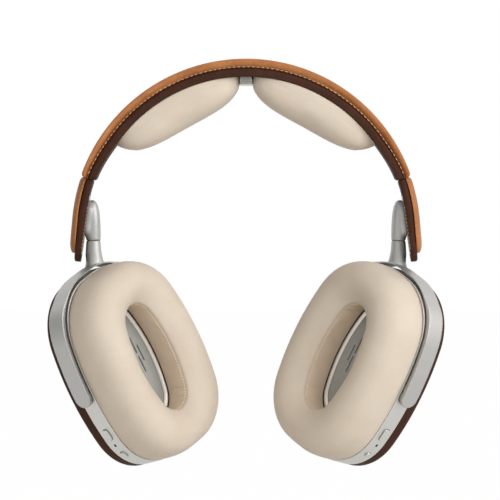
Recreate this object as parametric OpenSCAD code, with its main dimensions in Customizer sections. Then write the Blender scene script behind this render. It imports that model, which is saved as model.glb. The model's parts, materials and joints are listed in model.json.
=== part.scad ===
// Over-ear headphones with a leather arch, sliding elbow arms, swivelling yokes and padded cups.
// The right side is modelled; the left side is its mirror image, with its own buttons.

/* [Headband] */
// Outer radius of the leather arch
band_r = 84.3; // [80:0.1:92]
// Width of the arch from front to back
band_w = 32; // [28:1:38]
// Thickness of the tan outer layer
cover_t = 5; // [4.2:0.1:5.6]
// Thickness of the dark inner layer
lining_t = 3.5; // [3.2:0.1:4.2]
// Rounding of the leather edges
edge_r = 1.5; // [0.8:0.1:1.6]
// Thickness of the spring steel strip
spring_t = 0.8; // [0.5:0.1:1]
// Width of the spring steel strip
spring_w = 18; // [14:1:22]
// Angle above the horizontal where the arch meets the end pieces
split_a = 19.5; // [18.5:0.5:23]
// Gap between the arch and each end piece
split_gap = 0.3; // [0.2:0.1:1]
// Angle by which the spring strip reaches into each end piece
spring_in = 4; // [3:0.1:4.2]

/* [Head pads] */
// Thickness of a pad at its middle
pad_t = 16.8; // [13:0.2:19]
// Width of a pad from front to back
pad_w = 31; // [26:1:36]
// Angle that a pad covers along the arch
pad_span = 53; // [44:1:56]
// Width of the clip between the pads
clip_w = 6; // [5:0.2:7]
// Depth of the clip from front to back
clip_d = 22; // [16:1:26]
// Height by which the clip hangs below the arch
clip_h = 4; // [3.4:0.1:5]
// Space between the clip and each pad
clip_gap = 0.4; // [0.3:0.1:1]

/* [End pieces] */
// Width of an end piece from front to back
strap_w = 26; // [22:1:30]
// Thickness of the tan layer of an end piece
strap_cover_t = 4; // [3.5:0.1:4.6]
// Thickness of the dark core of an end piece
strap_core_t = 3.6; // [3.4:0.1:4.2]
// Lean of the straight tail of an end piece
strap_a = 5; // [3:0.5:7]
// Length of the straight tan tail
tail_len = 16.5; // [13:0.5:19]
// Length by which the dark core stands out below the tan tail
tail_step = 4; // [2:0.5:6]
// Corner radius of the tail tips
tip_r = 8; // [4:0.5:11]

/* [Height slide] */
// Lean of the rail
rail_a = 8; // [7:0.5:9]
// Width of the rail face plate
plate_w = 18; // [16:0.5:22]
// Width of the rail channel body
rail_w = 14; // [12.5:0.5:15]
// Thickness of the rail face plate
rail_face = 0.8; // [0.6:0.1:0.9]
// Thickness of the rail with its channel
rail_t = 2.3; // [2.2:0.05:2.4]
// Wall at each end of the rail channel
rail_end = 1.5; // [1:0.1:2.5]
// Length of the face plate above the channel
rail_tab = 5; // [2:0.5:6]
// Length of the sliding shoe
shoe_len = 10; // [8:0.5:10]
// Width of the sliding shoe
shoe_w = 8; // [6:0.5:9]
// Width of the neck of the shoe
neck_w = 4; // [3:0.2:5]
// Height of the shoe centre on the rail
shoe_z = -4; // [-5:0.1:-3]
// Travel of the arm downwards
slide_down = 10; // [6:0.5:10]
// Clearance of the sliding pieces
slide_gap = 0.3; // [0.2:0.05:0.4]

/* [Elbow arm] */
// Radius of the stem at the swivel seam
stem_r = 3.35; // [3:0.05:3.6]
// Radius of the stem above the fork
stem_low = 3.8; // [3.5:0.05:4]
// Distance from the rail face to the swivel axis
stem_off = 4.1; // [4:0.1:5]
// Height of the arch centre above the swivel seam
seam_drop = 3.2; // [2.4:0.1:4]
// Height of the elbow above the seam
elbow_h = 19.8; // [17:0.1:21]
// Width of the foot on the rail
foot_w = 9; // [7.5:0.1:11]
// Length of the foot on the rail
foot_len = 17; // [14:0.5:18]
// Radius of the swivel pin
pin_r = 1.7; // [1.4:0.05:1.9]
// Length of the pin held in the elbow
pin_in = 8; // [6:0.5:9]
// Radial running clearance of the pins
run_gap = 0.05; // [0.03:0.01:0.08]
// Gap at the swivel seam
seam_gap = 0.3; // [0.25:0.05:0.5]

/* [Yoke] */
// Height from the swivel seam to the fork
stem_h = 11; // [10.4:0.1:14]
// Offset of the stem from the middle of the fork
stem_u = -12; // [-14:0.5:-8]
// Width of the fork arms
arm_w = 9; // [7.8:0.1:9.2]
// Thickness of the fork arms
arm_t = 2.1; // [1.8:0.1:2.6]
// Gap between fork arms and cup rim
arm_gap = 0.9; // [0.7:0.1:1.4]
// Extra gap at the crown of the fork
crown_gap = 0.5; // [0.4:0.1:1.4]
// Extra thickness at the crown of the fork
crown_t = 0.2; // [0:0.1:1.2]
// Reach of the flare along the front arm
flare_front = 17; // [12:0.5:18]
// Reach of the flare along the rear arm
flare_rear = 6; // [5:0.5:9]
// Radius of the tilt pivot pins
pivot_r = 1.3; // [1:0.05:1.5]
// Turn of the cups away from facing each other
swivel = 42; // [20:1:60]
// Toe-in tilt of the cups
rake = 12; // [8:0.5:16]
// Slant of the cups in their own plane
slant = 26; // [20:0.5:28]

/* [Cup] */
// Half width of the rim
cup_a = 34.9; // [33.5:0.1:38]
// Half height of the rim
cup_b = 48.6; // [46:0.1:51]
// Radius of the rim corners
corner_r = 28.2; // [27.4:0.1:29.6]
// Radius of the long sides
side_r = 126; // [100:1:180]
// Radius of the short ends
end_r = 130; // [100:1:200]
// Depth of the metal rim
rim_w = 9.1; // [8.6:0.1:11]
// Wall of the metal rim
rim_wall = 2; // [1.6:0.1:2.2]
// Width of the ledge that carries the baffle
ledge_w = 2.2; // [1.5:0.1:3]
// Depth of the baffle face behind the rim front
baffle_in = 0.4; // [0.3:0.1:1]
// Thickness of the baffle
baffle_t = 1.2; // [0.8:0.1:1.4]
// Width of a baffle slot
slot_w = 1; // [0.8:0.1:1.4]
// Length of a baffle slot
slot_len = 8.6; // [7:0.1:8.8]
// Space between the slots of a row
slot_gap = 1.6; // [1.2:0.1:1.8]
// Distance between the rows of slots
slot_step = 2.5; // [2.2:0.1:2.8]
// Height of the slots above the middle of the baffle
slot_up = 1.5; // [0:0.1:1.6]
// Thickness of the leather-covered back
back_t = 7; // [5.5:0.1:9]
// Step of the back inside the rim outline
back_in = 0.1; // [0:0.1:0.8]
// Width of the bright ring on the baffle
ring_w = 2.4; // [1.6:0.1:3]
// Height of the bright ring on the baffle
ring_t = 1.5; // [1:0.1:2]
// Space between the bright ring and the cushion wall
ring_gap = 0.6; // [0.4:0.1:1]
// Radius of the driver
driver_r = 20; // [17:0.5:21]

/* [Ear cushion] */
// Thickness of the cushion
cushion_t = 21.2; // [17:0.2:23]
// Half width of the opening at its base
hole_a = 16.4; // [15.6:0.1:17.2]
// Half height of the opening at its base
hole_b = 30.8; // [29.4:0.1:32]
// Radius of the round ends of the opening
hole_r = 14; // [13:0.1:15]
// Step of the cushion inside the rim outline
cushion_step = 0.5; // [0.3:0.1:1.2]
// Gap between rim front and cushion base
cushion_lift = 0.6; // [0.4:0.1:1.2]

/* [Controls] */
// Length of the upper buttons
button_len = 6.4; // [5:0.1:7]
// Height of the upper buttons
button_h = 3.4; // [2.8:0.1:3.6]
// Length of the lower buttons
small_len = 4.2; // [3.4:0.1:5]
// Height of the lower buttons
small_h = 2.8; // [2:0.1:3.4]
// Rim angle of the upper buttons
button_f = -10; // [-14:0.5:-8]
// Rim angle of the lower buttons
small_f = -31; // [-40:0.5:-30]
// Clearance round a button
button_gap = 0.3; // [0.25:0.05:0.4]
// Travel of a button
button_go = 0.5; // [0.3:0.1:0.6]

/* [Hidden] */
$fn = 48;
e = 0.5;
// Radii of the arch layers, and the height of its centre above the underside of the clip
band_mid = band_r - cover_t;
band_in = band_mid - lining_t;
arc_z = clip_h - band_in;
strap_mid = band_r - strap_cover_t;
strap_in = strap_mid - strap_core_t;
gap_a = split_gap / band_mid * 180 / PI;
// Ends of the rail along its own line
rail_lo = shoe_z - shoe_len / 2 - slide_down - slide_gap - rail_end;
rail_top = shoe_z + shoe_len / 2 + slide_gap + rail_end;
rail_hi = rail_top + rail_tab;
head_t = rail_t - rail_face - 2 * slide_gap;
// Swivel axis
seam_z = arc_z - seam_drop;
stem_x = rail_x(seam_z) - stem_off;
// Corner arcs of the rim, and the directions at which side and end arcs begin
corner_c = arc_meet(side_r - cup_a, side_r - corner_r, end_r - cup_b, end_r - corner_r);
side_f = atan2(corner_c.y, corner_c.x + side_r - cup_a);
end_f = atan2(corner_c.y + end_r - cup_b, corner_c.x);
// Directions of the cup axes before it is swivelled
cup_u = [-sin(slant) * sin(rake), -cos(slant), -sin(slant) * cos(rake)];
cup_v = [cos(slant) * sin(rake), -sin(slant), cos(slant) * cos(rake)];
cup_n = [-cos(rake), 0, sin(rake)];
// Side arcs of the cushion opening, and the direction at which its end arcs begin
hole_side_r = (hole_a * hole_a + pow(hole_b - hole_r, 2) - hole_r * hole_r) / (2 * (hole_a - hole_r));
hole_f = atan2(hole_b - hole_r, hole_side_r - hole_a);
rim_mid = -rim_w / 2;
pivot_w = rim_mid - 0.5;
pivot_end = cup_a + arm_gap + arm_t - 0.8;
fork_root = [stem_u, fork_v(stem_u) - 1, pivot_w];
cup_o = [0, 0, -stem_h] - fork_root.x * cup_u - fork_root.y * cup_v - fork_root.z * cup_n;
baffle_z = -baffle_in;
baffle_low = -baffle_in - baffle_t;
ledge_t = 1.5;
web_t = 1;
web_v = driver_r + 2.5;
cloth_t = 0.3;
driver_z = baffle_low - cloth_t;
button_n = rim_mid - 0.4;
button_up = button_go + 0.2;
flange = 0.4;
flange_t = 0.8;
flange_z = -rim_wall - 0.5;
socket_len = 9.2;
socket_h = 3.4;
head_r = pin_r + 0.9;
head_h = 1.2;
washer_t = 0.5;
cb_z = 3.4 - stem_h;

// Rail face, seen from the front, at a height
function rail_x(z) = (strap_in - (z - arc_z) * sin(rail_a)) / cos(rail_a);

// Centre of the corner arcs of the rim, where side arc and end arc both run into them
function arc_meet(k, rk, m, rm) =
  let (d = norm([k, m]), a = (rk * rk - rm * rm + d * d) / (2 * d), h = sqrt(rk * rk - a * a))
  [-k + a * k / d + h * m / d, -a * m / d + h * k / d];

// Point of the rim outline whose outward direction is f, moved outwards by g
function oval_point(f, g) =
  let (c = cos(f), s = sin(f), a = atan2(abs(s), abs(c)))
  let (q = a < side_f ? [cup_a - side_r, 0, side_r] : a > end_f ? [0, cup_b - end_r, end_r]
    : [corner_c.x, corner_c.y, corner_r])
  [sign(c) * (q.x + (q[2] + g) * cos(a)), sign(s) * (q.y + (q[2] + g) * sin(a))];
function oval(n, g) = [for (i = [0:n - 1]) oval_point(360 * (i + 0.5) / n, g)];
function oval_ring(n, g, w) = [for (p = oval(n, g)) [p.x, p.y, w]];

// The same for the opening of the cushion
function hole_point(f, g) =
  let (c = cos(f), s = sin(f), a = atan2(abs(s), abs(c)))
  let (q = a < hole_f ? [hole_a - hole_side_r, 0, hole_side_r] : [0, hole_b - hole_r, hole_r])
  [sign(c) * (q.x + (q[2] + g) * cos(a)), sign(s) * (q.y + (q[2] + g) * sin(a))];

// Fork outline at a rim direction: inside with k = 0, outside with k = 1
function fork_g(f, k) = let (c = sin(f) > 0 ? pow(sin(f), 2) : 0)
  arm_gap + crown_gap * c + k * (arm_t + crown_t * c);
function fork_line(k) = [for (i = [0:95]) let (f = 3.75 * (i + 0.5)) oval_point(f, fork_g(f, k))];
// Outside of the fork crown above a point of the short axis
function fork_v(u) = let (f = acos((u - sign(u) * corner_c.x) / (corner_r + fork_g(90, 1))))
  oval_point(f, fork_g(f, 1)).y;

// Rectangle with softly rounded corners, centred in y
function soft_rect(x0, x1, w, r) = [
  for (c = [[x1 - r, w / 2 - r, 0], [x0 + r, w / 2 - r, 90],
    [x0 + r, r - w / 2, 180], [x1 - r, r - w / 2, 270]])
    for (k = [0:3]) [c.x + r * cos(c[2] + 30 * k), c.y + r * sin(c[2] + 30 * k)]
];
// Slot or button outline, long in y
function pill(len, h) = let (r = h / 2) concat(
  [for (k = [0:8]) [r * cos(22.5 * k), (len / 2 - r) + r * sin(22.5 * k)]],
  [for (k = [0:8]) [-r * cos(22.5 * k), -(len / 2 - r) - r * sin(22.5 * k)]]
);
function soft_box(len, h, r) = soft_rect(-h / 2, h / 2, len, r);

// Solid through a stack of rings, closed at both ends
module skin(rings) {
  n = len(rings[0]);
  m = len(rings);
  sides = [for (k = [0:m - 2], i = [0:n - 1])
    [k * n + i, (k + 1) * n + i, (k + 1) * n + (i + 1) % n, k * n + (i + 1) % n]];
  low = [for (i = [0:n - 1]) i];
  high = [for (i = [n - 1:-1:0]) (m - 1) * n + i];
  polyhedron([for (r = rings) each r], concat(sides, [low, high]), convexity = 6);
}
// Solid ring through a closed sequence of rings
module ring_skin(rings) {
  n = len(rings[0]);
  m = len(rings);
  sides = [for (k = [0:m - 1], i = [0:n - 1]) let (j = (k + 1) % m)
    [k * n + i, j * n + i, j * n + (i + 1) % n, k * n + (i + 1) % n]];
  polyhedron([for (r = rings) each r], sides, convexity = 6);
}

// Places on the object
module side(left) {
  if (left) {
    mirror([1, 0, 0]) children();
  } else {
    children();
  }
}
module on_arch() translate([0, 0, arc_z]) rotate([90, 0, 0]) children();
module on_rail() translate([0, 0, arc_z]) rotate([0, -rail_a, 0]) translate([strap_in, 0, 0]) children();
module on_yoke() translate([stem_x, 0, seam_z]) rotate([0, 0, swivel]) children();
module on_cup() on_yoke() translate(cup_o) rotate([90, 0, -90]) rotate([-rake, 0, 0])
  rotate([0, 0, -slant]) children();
// On the rim, with z outwards, y along the rim and x towards the back
module on_rim(f, w) {
  p = oval_point(f, 0);
  translate([p.x, p.y, w]) rotate([0, 0, f]) rotate([0, 90, 0]) children();
}
module oval_plate(g, w0, w1) translate([0, 0, w0]) linear_extrude(w1 - w0) polygon(oval(96, g));
module hole_plate(g, w0, w1) translate([0, 0, w0]) linear_extrude(w1 - w0)
  polygon([for (i = [0:95]) hole_point(3.75 * (i + 0.5), g)]);
module bar(x0, x1, y, z0, z1) translate([x0, -y / 2, z0]) cube([x1 - x0, y, z1 - z0]);

// Headband
module arch_layer(r0, r1, w, a0, a1) on_arch() rotate_extrude(angle = a1 - a0, start = a0, $fn = 180)
  polygon(soft_rect(r0, r1, w, edge_r));
module spring_shape() on_arch() rotate_extrude(angle = 180 - 2 * (split_a - spring_in),
  start = split_a - spring_in, $fn = 180) translate([band_mid - spring_t, -spring_w / 2])
  square([spring_t, spring_w]);
module band_cover() color("#b26e42") arch_layer(band_mid, band_r, band_w, split_a, 180 - split_a);
module band_lining() color("#4e3028") difference() {
  arch_layer(band_in, band_mid, band_w, split_a, 180 - split_a);
  spring_shape();
}
module spring_band() color("#9a9ca0") spring_shape();
module pad_clip() color("#8e8f90") difference() {
  union() {
    bar(-clip_w / 2 + 0.2, clip_w / 2 - 0.2, clip_d - 1, 1, clip_h + 1);
    bar(-clip_w / 2, clip_w / 2, clip_d, 0, 1.4);
  }
  on_arch() rotate_extrude(angle = 20, start = 80, $fn = 180)
    translate([band_in, -clip_d]) square([8, 2 * clip_d]);
}
// Depth of the pad along its length, and its cross-section as shares of half width and depth
function pad_deep(s) = pad_t * pow(1 - pow(abs(s), 2.6), 0.45);
function pad_wide(s) = pad_w / 2 * pow(1 - pow(abs(s), 5), 0.32);
pad_form = [
  [0.96, 0], [1, 0.12], [1, 0.34], [0.97, 0.55], [0.88, 0.74], [0.7, 0.89], [0.4, 0.975], [0, 1],
  [-0.4, 0.975], [-0.7, 0.89], [-0.88, 0.74], [-0.97, 0.55], [-1, 0.34], [-1, 0.12], [-0.96, 0]
];
pad_a0 = 90 - asin((clip_w / 2 + clip_gap) / band_in) - pad_span / 2;
module pad(left) color("#decebb") side(left) skin([
  for (k = [0:24]) let (s = sin(80 * (k - 12) / 12) / sin(80.4), a = pad_a0 + s * pad_span / 2)
    [for (p = pad_form) let (r = band_in - p.y * pad_deep(s))
      [r * cos(a), p.x * pad_wide(s), arc_z + r * sin(a)]]
]);

// End pieces
// Cross-section of an end piece, at an angle of the arch and a distance down its tail
function strap_ring(r0, r1, a, d, w, thin) = [for (p = soft_rect(r0 + thin, r1 - thin, w, edge_r - thin))
  [p.x * cos(a) + d * sin(strap_a), p.y, arc_z + p.x * sin(a) - d * cos(strap_a)]];
module strap(r0, r1, tail) {
  top = split_a - gap_a;
  skin(concat(
    [for (q = [[1, 0.6], [0.95, 0.2], [0.8, 0], [0.5, 0], [0, 0]])
      let (w = strap_w - 2 * tip_r * (1 - sqrt(1 - q.x * q.x)))
      strap_ring(r0, r1, strap_a, tail - tip_r * (1 - q.x), w, q.y)],
    [for (k = [0:5]) strap_ring(r0, r1, strap_a + k / 5 * (top - 0.6 - strap_a), 0, strap_w, 0)],
    [for (q = [[0.15, 0.2], [0, 0.6]]) strap_ring(r0, r1, top - q.x, 0, strap_w - 2 * q.y, q.y)]
  ));
}
module end_cover(left) color("#b26e42") side(left) difference() {
  strap(strap_mid, band_r, tail_len);
  spring_shape();
}
module end_core(left) color("#4e3028") side(left) difference() {
  strap(strap_in, strap_mid, tail_len + tail_step);
  spring_shape();
  on_rail() {
    bar(-6, 0, strap_w + 2, rail_lo - 20, rail_hi);
    bar(-6, rail_face, plate_w, rail_lo, rail_hi);
    bar(-6, rail_t, rail_w, rail_lo, rail_top);
  }
}
module slide_rail(left) color("#c4c3c0") side(left) on_rail() difference() {
  union() {
    bar(0, rail_face, plate_w, rail_lo, rail_hi);
    bar(0, rail_t, rail_w, rail_lo, rail_top);
  }
  bar(-e, rail_t, neck_w + 2 * slide_gap, rail_lo + rail_end, rail_top - rail_end);
  bar(rail_face, rail_t + e, shoe_w + 2 * slide_gap, rail_lo + rail_end, rail_top - rail_end);
}

// Sliding arm
module slide_shoe(left) color("#6f7072") side(left) on_rail() translate([0, 0, shoe_z]) {
  bar(rail_face + slide_gap, rail_face + slide_gap + head_t, shoe_w, -shoe_len / 2, shoe_len / 2);
  bar(-slide_gap, rail_face + slide_gap + head_t / 2, neck_w, -shoe_len / 2, shoe_len / 2);
}
elbow_steps = [0, 0.12, 0.25, 0.38, 0.5, 0.61, 0.71, 0.8, 0.87, 0.93, 0.97];
function elbow_ring(t) =
  let (z = seam_z + t * elbow_h, wall = rail_x(z) - slide_gap - 0.05)
  let (turn = 1 - pow(1 - pow(t, 3), 1 / 3), full = 1 - 0.6 * min(1, 3 * t))
  let (x0 = stem_x - stem_r + turn * (wall - stem_x + stem_r), x1 = min(stem_x + stem_r, wall))
  let (y = (stem_r + (foot_w / 2 - stem_r) * sin(90 * min(1, 1.6 * t))) * sqrt(1 - pow(t, 5)))
  [for (k = [0:31]) let (c = cos(11.25 * k), s = sin(11.25 * k), p = c > 0 ? full : 1)
    [(x0 + x1) / 2 + (x1 - x0) / 2 * sign(c) * pow(abs(c), p), y * sign(s) * pow(abs(s), p), z]];
module elbow_arm(left) color("#c9c8c4") side(left) difference() {
  union() {
    skin([for (t = elbow_steps) elbow_ring(t)]);
    on_rail() translate([-slide_gap, 0, shoe_z]) rotate([0, -90, 0]) linear_extrude(1.5)
      rotate(90) polygon(pill(foot_len, foot_w));
  }
  translate([stem_x, 0, seam_z - 1]) cylinder(r = pin_r, h = pin_in + 1);
}
module swivel_pin(left) color("#808184") side(left) on_yoke() {
  translate([0, 0, cb_z - washer_t - 0.3]) cylinder(r = pin_r, h = pin_in - cb_z + washer_t + 0.3);
  translate([0, 0, cb_z - washer_t - 0.3 - head_h]) cylinder(r = head_r, h = head_h);
}

// Yoke
flare_steps = [0, 0.14, 0.28, 0.42, 0.56, 0.7, 0.84, 1];
stem_e1 = [cup_u.x, cup_u.y] / norm([cup_u.x, cup_u.y]);
stem_e2 = [stem_e1.y, -stem_e1.x];
function flare_foot(b) =
  let (u = stem_u + (cos(b) > 0 ? flare_front : flare_rear) * cos(b))
  cup_o + u * cup_u + (fork_v(u) - 0.6) * cup_v + (pivot_w + (arm_w / 2 - 0.3) * sin(b)) * cup_n;
function flare_ring(t) = [for (k = [0:31])
  let (b = -11.25 * k, top = stem_low * (cos(b) * stem_e1 + sin(b) * stem_e2), foot = flare_foot(b))
  let (f = 1 - cos(90 * t), h = 0.35 * t + 0.65 * sin(90 * t), z0 = -seam_gap - 6.5)
  [top.x + f * (foot.x - top.x), top.y + f * (foot.y - top.y), z0 + h * (foot.z - z0)]];
module fork_outline(k) polygon(fork_line(k));
module yoke(left) color("#c9c8c4") side(left) difference() {
  union() {
    on_cup() {
      translate([0, 0, pivot_w - arm_w / 2]) linear_extrude(arm_w) difference() {
        fork_outline(1);
        fork_outline(0);
        translate([-100, -200]) square([200, 200]);
      }
      intersection() {
        translate([0, 0, pivot_w - arm_w / 2]) linear_extrude(arm_w) difference() {
          fork_outline(1);
          fork_outline(0);
        }
        translate([-100, 0, pivot_w]) rotate([0, 90, 0]) cylinder(r = arm_w / 2, h = 200);
      }
    }
    on_yoke() skin(concat(
      [[for (p = flare_ring(1)) p - 0.8 * cup_v]],
      [for (k = [len(flare_steps) - 1:-1:0]) flare_ring(flare_steps[k])],
      [[for (p = flare_ring(0)) [p.x * stem_r / stem_low, p.y * stem_r / stem_low, -seam_gap]]]
    ));
  }
  on_yoke() {
    translate([0, 0, cb_z - 1]) cylinder(r = pin_r + run_gap, h = 1 - cb_z + 1);
    translate([0, 0, cb_z - 12]) cylinder(r = head_r + 0.4, h = 12);
  }
  on_cup() translate([0, 0, pivot_w]) rotate([0, 90, 0])
    translate([0, 0, -pivot_end]) cylinder(r = pivot_r, h = 2 * pivot_end);
}
module swivel_washer(left) color("#d8cfa8") side(left) on_yoke()
  translate([0, 0, cb_z - washer_t]) difference() {
    cylinder(r = head_r + 0.4, h = washer_t);
    translate([0, 0, -1]) cylinder(r = pin_r + run_gap, h = washer_t + 2);
  }
module pivot_pins(left) color("#808184") side(left) on_cup() translate([0, 0, pivot_w]) for (s = [90, -90])
  rotate([0, s, 0]) translate([0, 0, cup_a - rim_wall - 1.5])
    cylinder(r = pivot_r, h = pivot_end - cup_a + rim_wall + 1.5);

// Cup
module button_outline(left, upper, g) {
  if (left) {
    polygon(pill((upper ? button_len : small_len) + 2 * g, (upper ? button_h : small_h) + 2 * g));
  } else if (upper) {
    polygon(soft_box(button_len + 2 * g, button_h + 2 * g, 0.8 + g));
  } else {
    circle(r = small_h / 2 + g);
  }
}
module button(left, upper) color("#b9b8b4") side(left) on_cup() on_rim(upper ? button_f : small_f, button_n) {
  translate([0, 0, flange_z - 0.1]) linear_extrude(button_up - flange_z + 0.1) button_outline(left, upper, 0);
  translate([0, 0, flange_z - flange_t]) linear_extrude(flange_t) button_outline(left, upper, flange);
}
module button_room(left, upper) on_rim(upper ? button_f : small_f, button_n) {
  translate([0, 0, -6]) linear_extrude(12) button_outline(left, upper, button_gap);
  translate([0, 0, -10]) linear_extrude(10 - rim_wall + 0.2) button_outline(left, upper, flange + button_gap);
}
module cup_shell(left) color("#c2c1bd") side(left) on_cup() difference() {
  union() {
    difference() {
      oval_plate(0, -rim_w, 0);
      oval_plate(-rim_wall, -rim_w - 1, 1);
    }
    difference() {
      oval_plate(-rim_wall + 0.3, baffle_low - ledge_t, baffle_low);
      oval_plate(-rim_wall - ledge_w, baffle_low - ledge_t - 1, baffle_low + 1);
    }
    difference() {
      oval_plate(-rim_wall + 0.3, -rim_w, -rim_w + web_t);
      translate([-60, -web_v, -rim_w - 1]) cube([120, 2 * web_v, 3]);
    }
  }
  translate([0, 0, pivot_w]) rotate([0, 90, 0]) {
    translate([0, 0, -60]) cylinder(r = pivot_r + run_gap, h = 120);
    for (s = [0, 180]) rotate([s, 0, 0]) translate([0, 0, cup_a - rim_wall - 6])
      cylinder(r = pivot_r + 0.8, h = 6);
  }
  button_room(left, true);
  button_room(left, false);
  on_rim(button_f - 7, button_n) translate([0, 0, -4]) cylinder(r = 0.6, h = 6);
  if (!left) {
    on_rim(270, rim_mid) translate([0, 0, -8]) linear_extrude(12) polygon(pill(socket_len, socket_h));
  }
}
module pivot_bushes(left) color("#6d6e70") side(left) on_cup() translate([0, 0, pivot_w]) for (s = [90, -90])
  rotate([0, s, 0]) translate([0, 0, cup_a - rim_wall - 2.5]) difference() {
    cylinder(r = pivot_r + 0.8, h = 2.5);
    translate([0, 0, -1]) cylinder(r = pivot_r + run_gap, h = 5);
  }
back_form = [[-6.5, 1], [-3.8, 0.985], [-1.8, 0.92], [-0.6, 0.79], [0, 0.58], [0, 0.1], [-0.3, 0]];
module outer_cover(left) color("#4e3028") side(left) on_cup() difference() {
  skin([for (p = back_form) oval_ring(64, p.x - back_in, -rim_w - p.y * back_t)]);
  oval_plate(-rim_wall - 3, -rim_w - back_t + 1.4, -rim_w + 1);
}
// Rows of slots along the length of the baffle, longest in the middle
slot_rows = [1, 2, 3, 4, 4, 3, 2, 1];
slot_pitch = slot_len + slot_gap;
module baffle(left) color("#808486") side(left) on_cup() difference() {
  oval_plate(-rim_wall - 0.2, baffle_low, baffle_z);
  for (r = [0:7], k = [0:slot_rows[r] - 1])
    translate([(r - 3.5) * slot_step, slot_up + (k - (slot_rows[r] - 1) / 2) * slot_pitch, baffle_low - 1])
      linear_extrude(4) polygon(pill(slot_len, slot_w));
}
module baffle_ring(left) color("#d2d2d0") side(left) on_cup() difference() {
  hole_plate(-ring_gap, baffle_z, baffle_z + ring_t);
  hole_plate(-ring_gap - ring_w, baffle_z - 1, baffle_z + ring_t + 1);
}
module damping_cloth(left) color("#26272a") side(left) on_cup() translate([0, 0, driver_z])
  cylinder(r = driver_r + 1.5, h = cloth_t);
module driver_frame(left) color("#2c2c2e") side(left) on_cup() translate([0, 0, driver_z]) rotate_extrude()
  polygon([[driver_r, 0], [driver_r - 1.6, 0], [driver_r - 1.6, -1.2], [driver_r - 4.2, -1.2],
    [driver_r - 5.6, -4], [7, -4], [7, -5], [driver_r - 4.8, -5], [driver_r - 3.4, -2.2], [driver_r, -2.2]]);
module driver_magnet(left) color("#77797c") side(left) on_cup() translate([0, 0, driver_z - 7])
  cylinder(r = driver_r - 8, h = 2);
module diaphragm(left) color("#cfc9b4") side(left) on_cup() translate([0, 0, driver_z]) rotate_extrude()
  polygon([[driver_r - 1.7, -1.2], [driver_r - 1.7, -0.9], [driver_r - 6, -1.1], [7, -1.6], [4, -0.8],
    [0, -0.4], [0, -0.7], [4, -1.1], [7, -1.9], [driver_r - 6, -1.4], [driver_r - 4.4, -1.2]]);
module circuit_board(left) color("#2f5a3a") side(left) on_cup()
  translate([-17, -cup_b + 9.4, -rim_w + web_t]) {
    cube([34, cup_b - web_v - 11, 1.2]);
    translate([6, 4, 1]) cube([7, 6, 1]);
    translate([20, 3, 1]) cube([9, 7, 1.2]);
  }
module battery(left) color("#8c9196") side(left) on_cup() translate([-17, web_v + 0.5, -rim_w + web_t])
  cube([34, cup_b - web_v - 8, 3.6]);
module charge_socket(left) color("#a8a9ab") side(left) on_cup() on_rim(270, rim_mid) difference() {
  translate([0, 0, -6.8]) linear_extrude(6) polygon(pill(socket_len, socket_h));
  translate([0, 0, -5.8]) linear_extrude(8) polygon(pill(socket_len - 0.8, socket_h - 0.8));
}
module cushion_plate(left) color("#2b2a2a") side(left) on_cup() difference() {
  oval_plate(-rim_wall - 0.3, baffle_z, cushion_lift);
  hole_plate(0, baffle_z - 1, cushion_lift + 1);
}
// Cross-section of the cushion: shares of the way from its outside to the opening, and of its thickness
cushion_form = [
  [0.045, 0], [0.015, 0.07], [0, 0.2], [0, 0.4], [0.022, 0.56], [0.08, 0.71], [0.175, 0.83], [0.31, 0.92],
  [0.475, 0.985], [0.64, 1], [0.81, 0.97], [0.96, 0.9], [1.07, 0.815], [1.135, 0.745], [1.15, 0.69],
  [1.12, 0.655], [1.085, 0.45], [1.045, 0.22], [1, 0]
];
module ear_cushion(left) color("#dccbb6") side(left) on_cup() ring_skin([
  for (p = cushion_form) [for (i = [0:59])
    let (f = 6 * (i + 0.5), a = oval_point(f, -cushion_step), b = hole_point(f, 0))
    [a.x + p.x * (b.x - a.x), a.y + p.x * (b.y - a.y), cushion_lift + p.y * cushion_t]]
]);

band_cover();
band_lining();
spring_band();
pad(true);  // pad_left
pad(false);  // pad_right
pad_clip();
end_cover(true);  // end_cover_left
end_core(true);  // end_core_left
slide_rail(true);  // slide_rail_left
end_cover(false);  // end_cover_right
end_core(false);  // end_core_right
slide_rail(false);  // slide_rail_right
elbow_arm(true);  // elbow_arm_left
slide_shoe(true);  // slide_shoe_left
swivel_pin(true);  // swivel_pin_left
elbow_arm(false);  // elbow_arm_right
slide_shoe(false);  // slide_shoe_right
swivel_pin(false);  // swivel_pin_right
yoke(true);  // yoke_left
swivel_washer(true);  // swivel_washer_left
pivot_pins(true);  // pivot_pins_left
yoke(false);  // yoke_right
swivel_washer(false);  // swivel_washer_right
pivot_pins(false);  // pivot_pins_right
cup_shell(true);  // cup_shell_left
outer_cover(true);  // outer_cover_left
pivot_bushes(true);  // pivot_bushes_left
baffle(true);  // baffle_left
baffle_ring(true);  // baffle_ring_left
damping_cloth(true);  // damping_cloth_left
driver_frame(true);  // driver_frame_left
driver_magnet(true);  // driver_magnet_left
diaphragm(true);  // diaphragm_left
circuit_board(true);  // circuit_board_left
cushion_plate(true);  // cushion_plate_left
ear_cushion(true);  // ear_cushion_left
cup_shell(false);  // cup_shell_right
outer_cover(false);  // outer_cover_right
pivot_bushes(false);  // pivot_bushes_right
baffle(false);  // baffle_right
baffle_ring(false);  // baffle_ring_right
damping_cloth(false);  // damping_cloth_right
driver_frame(false);  // driver_frame_right
driver_magnet(false);  // driver_magnet_right
diaphragm(false);  // diaphragm_right
circuit_board(false);  // circuit_board_right
cushion_plate(false);  // cushion_plate_right
ear_cushion(false);  // ear_cushion_right
battery(true);  // battery_left
charge_socket(false);  // charge_socket_right
button(true, true);  // button_upper_left
button(true, false);  // button_lower_left
button(false, true);  // button_upper_right
button(false, false);  // button_lower_right
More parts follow.
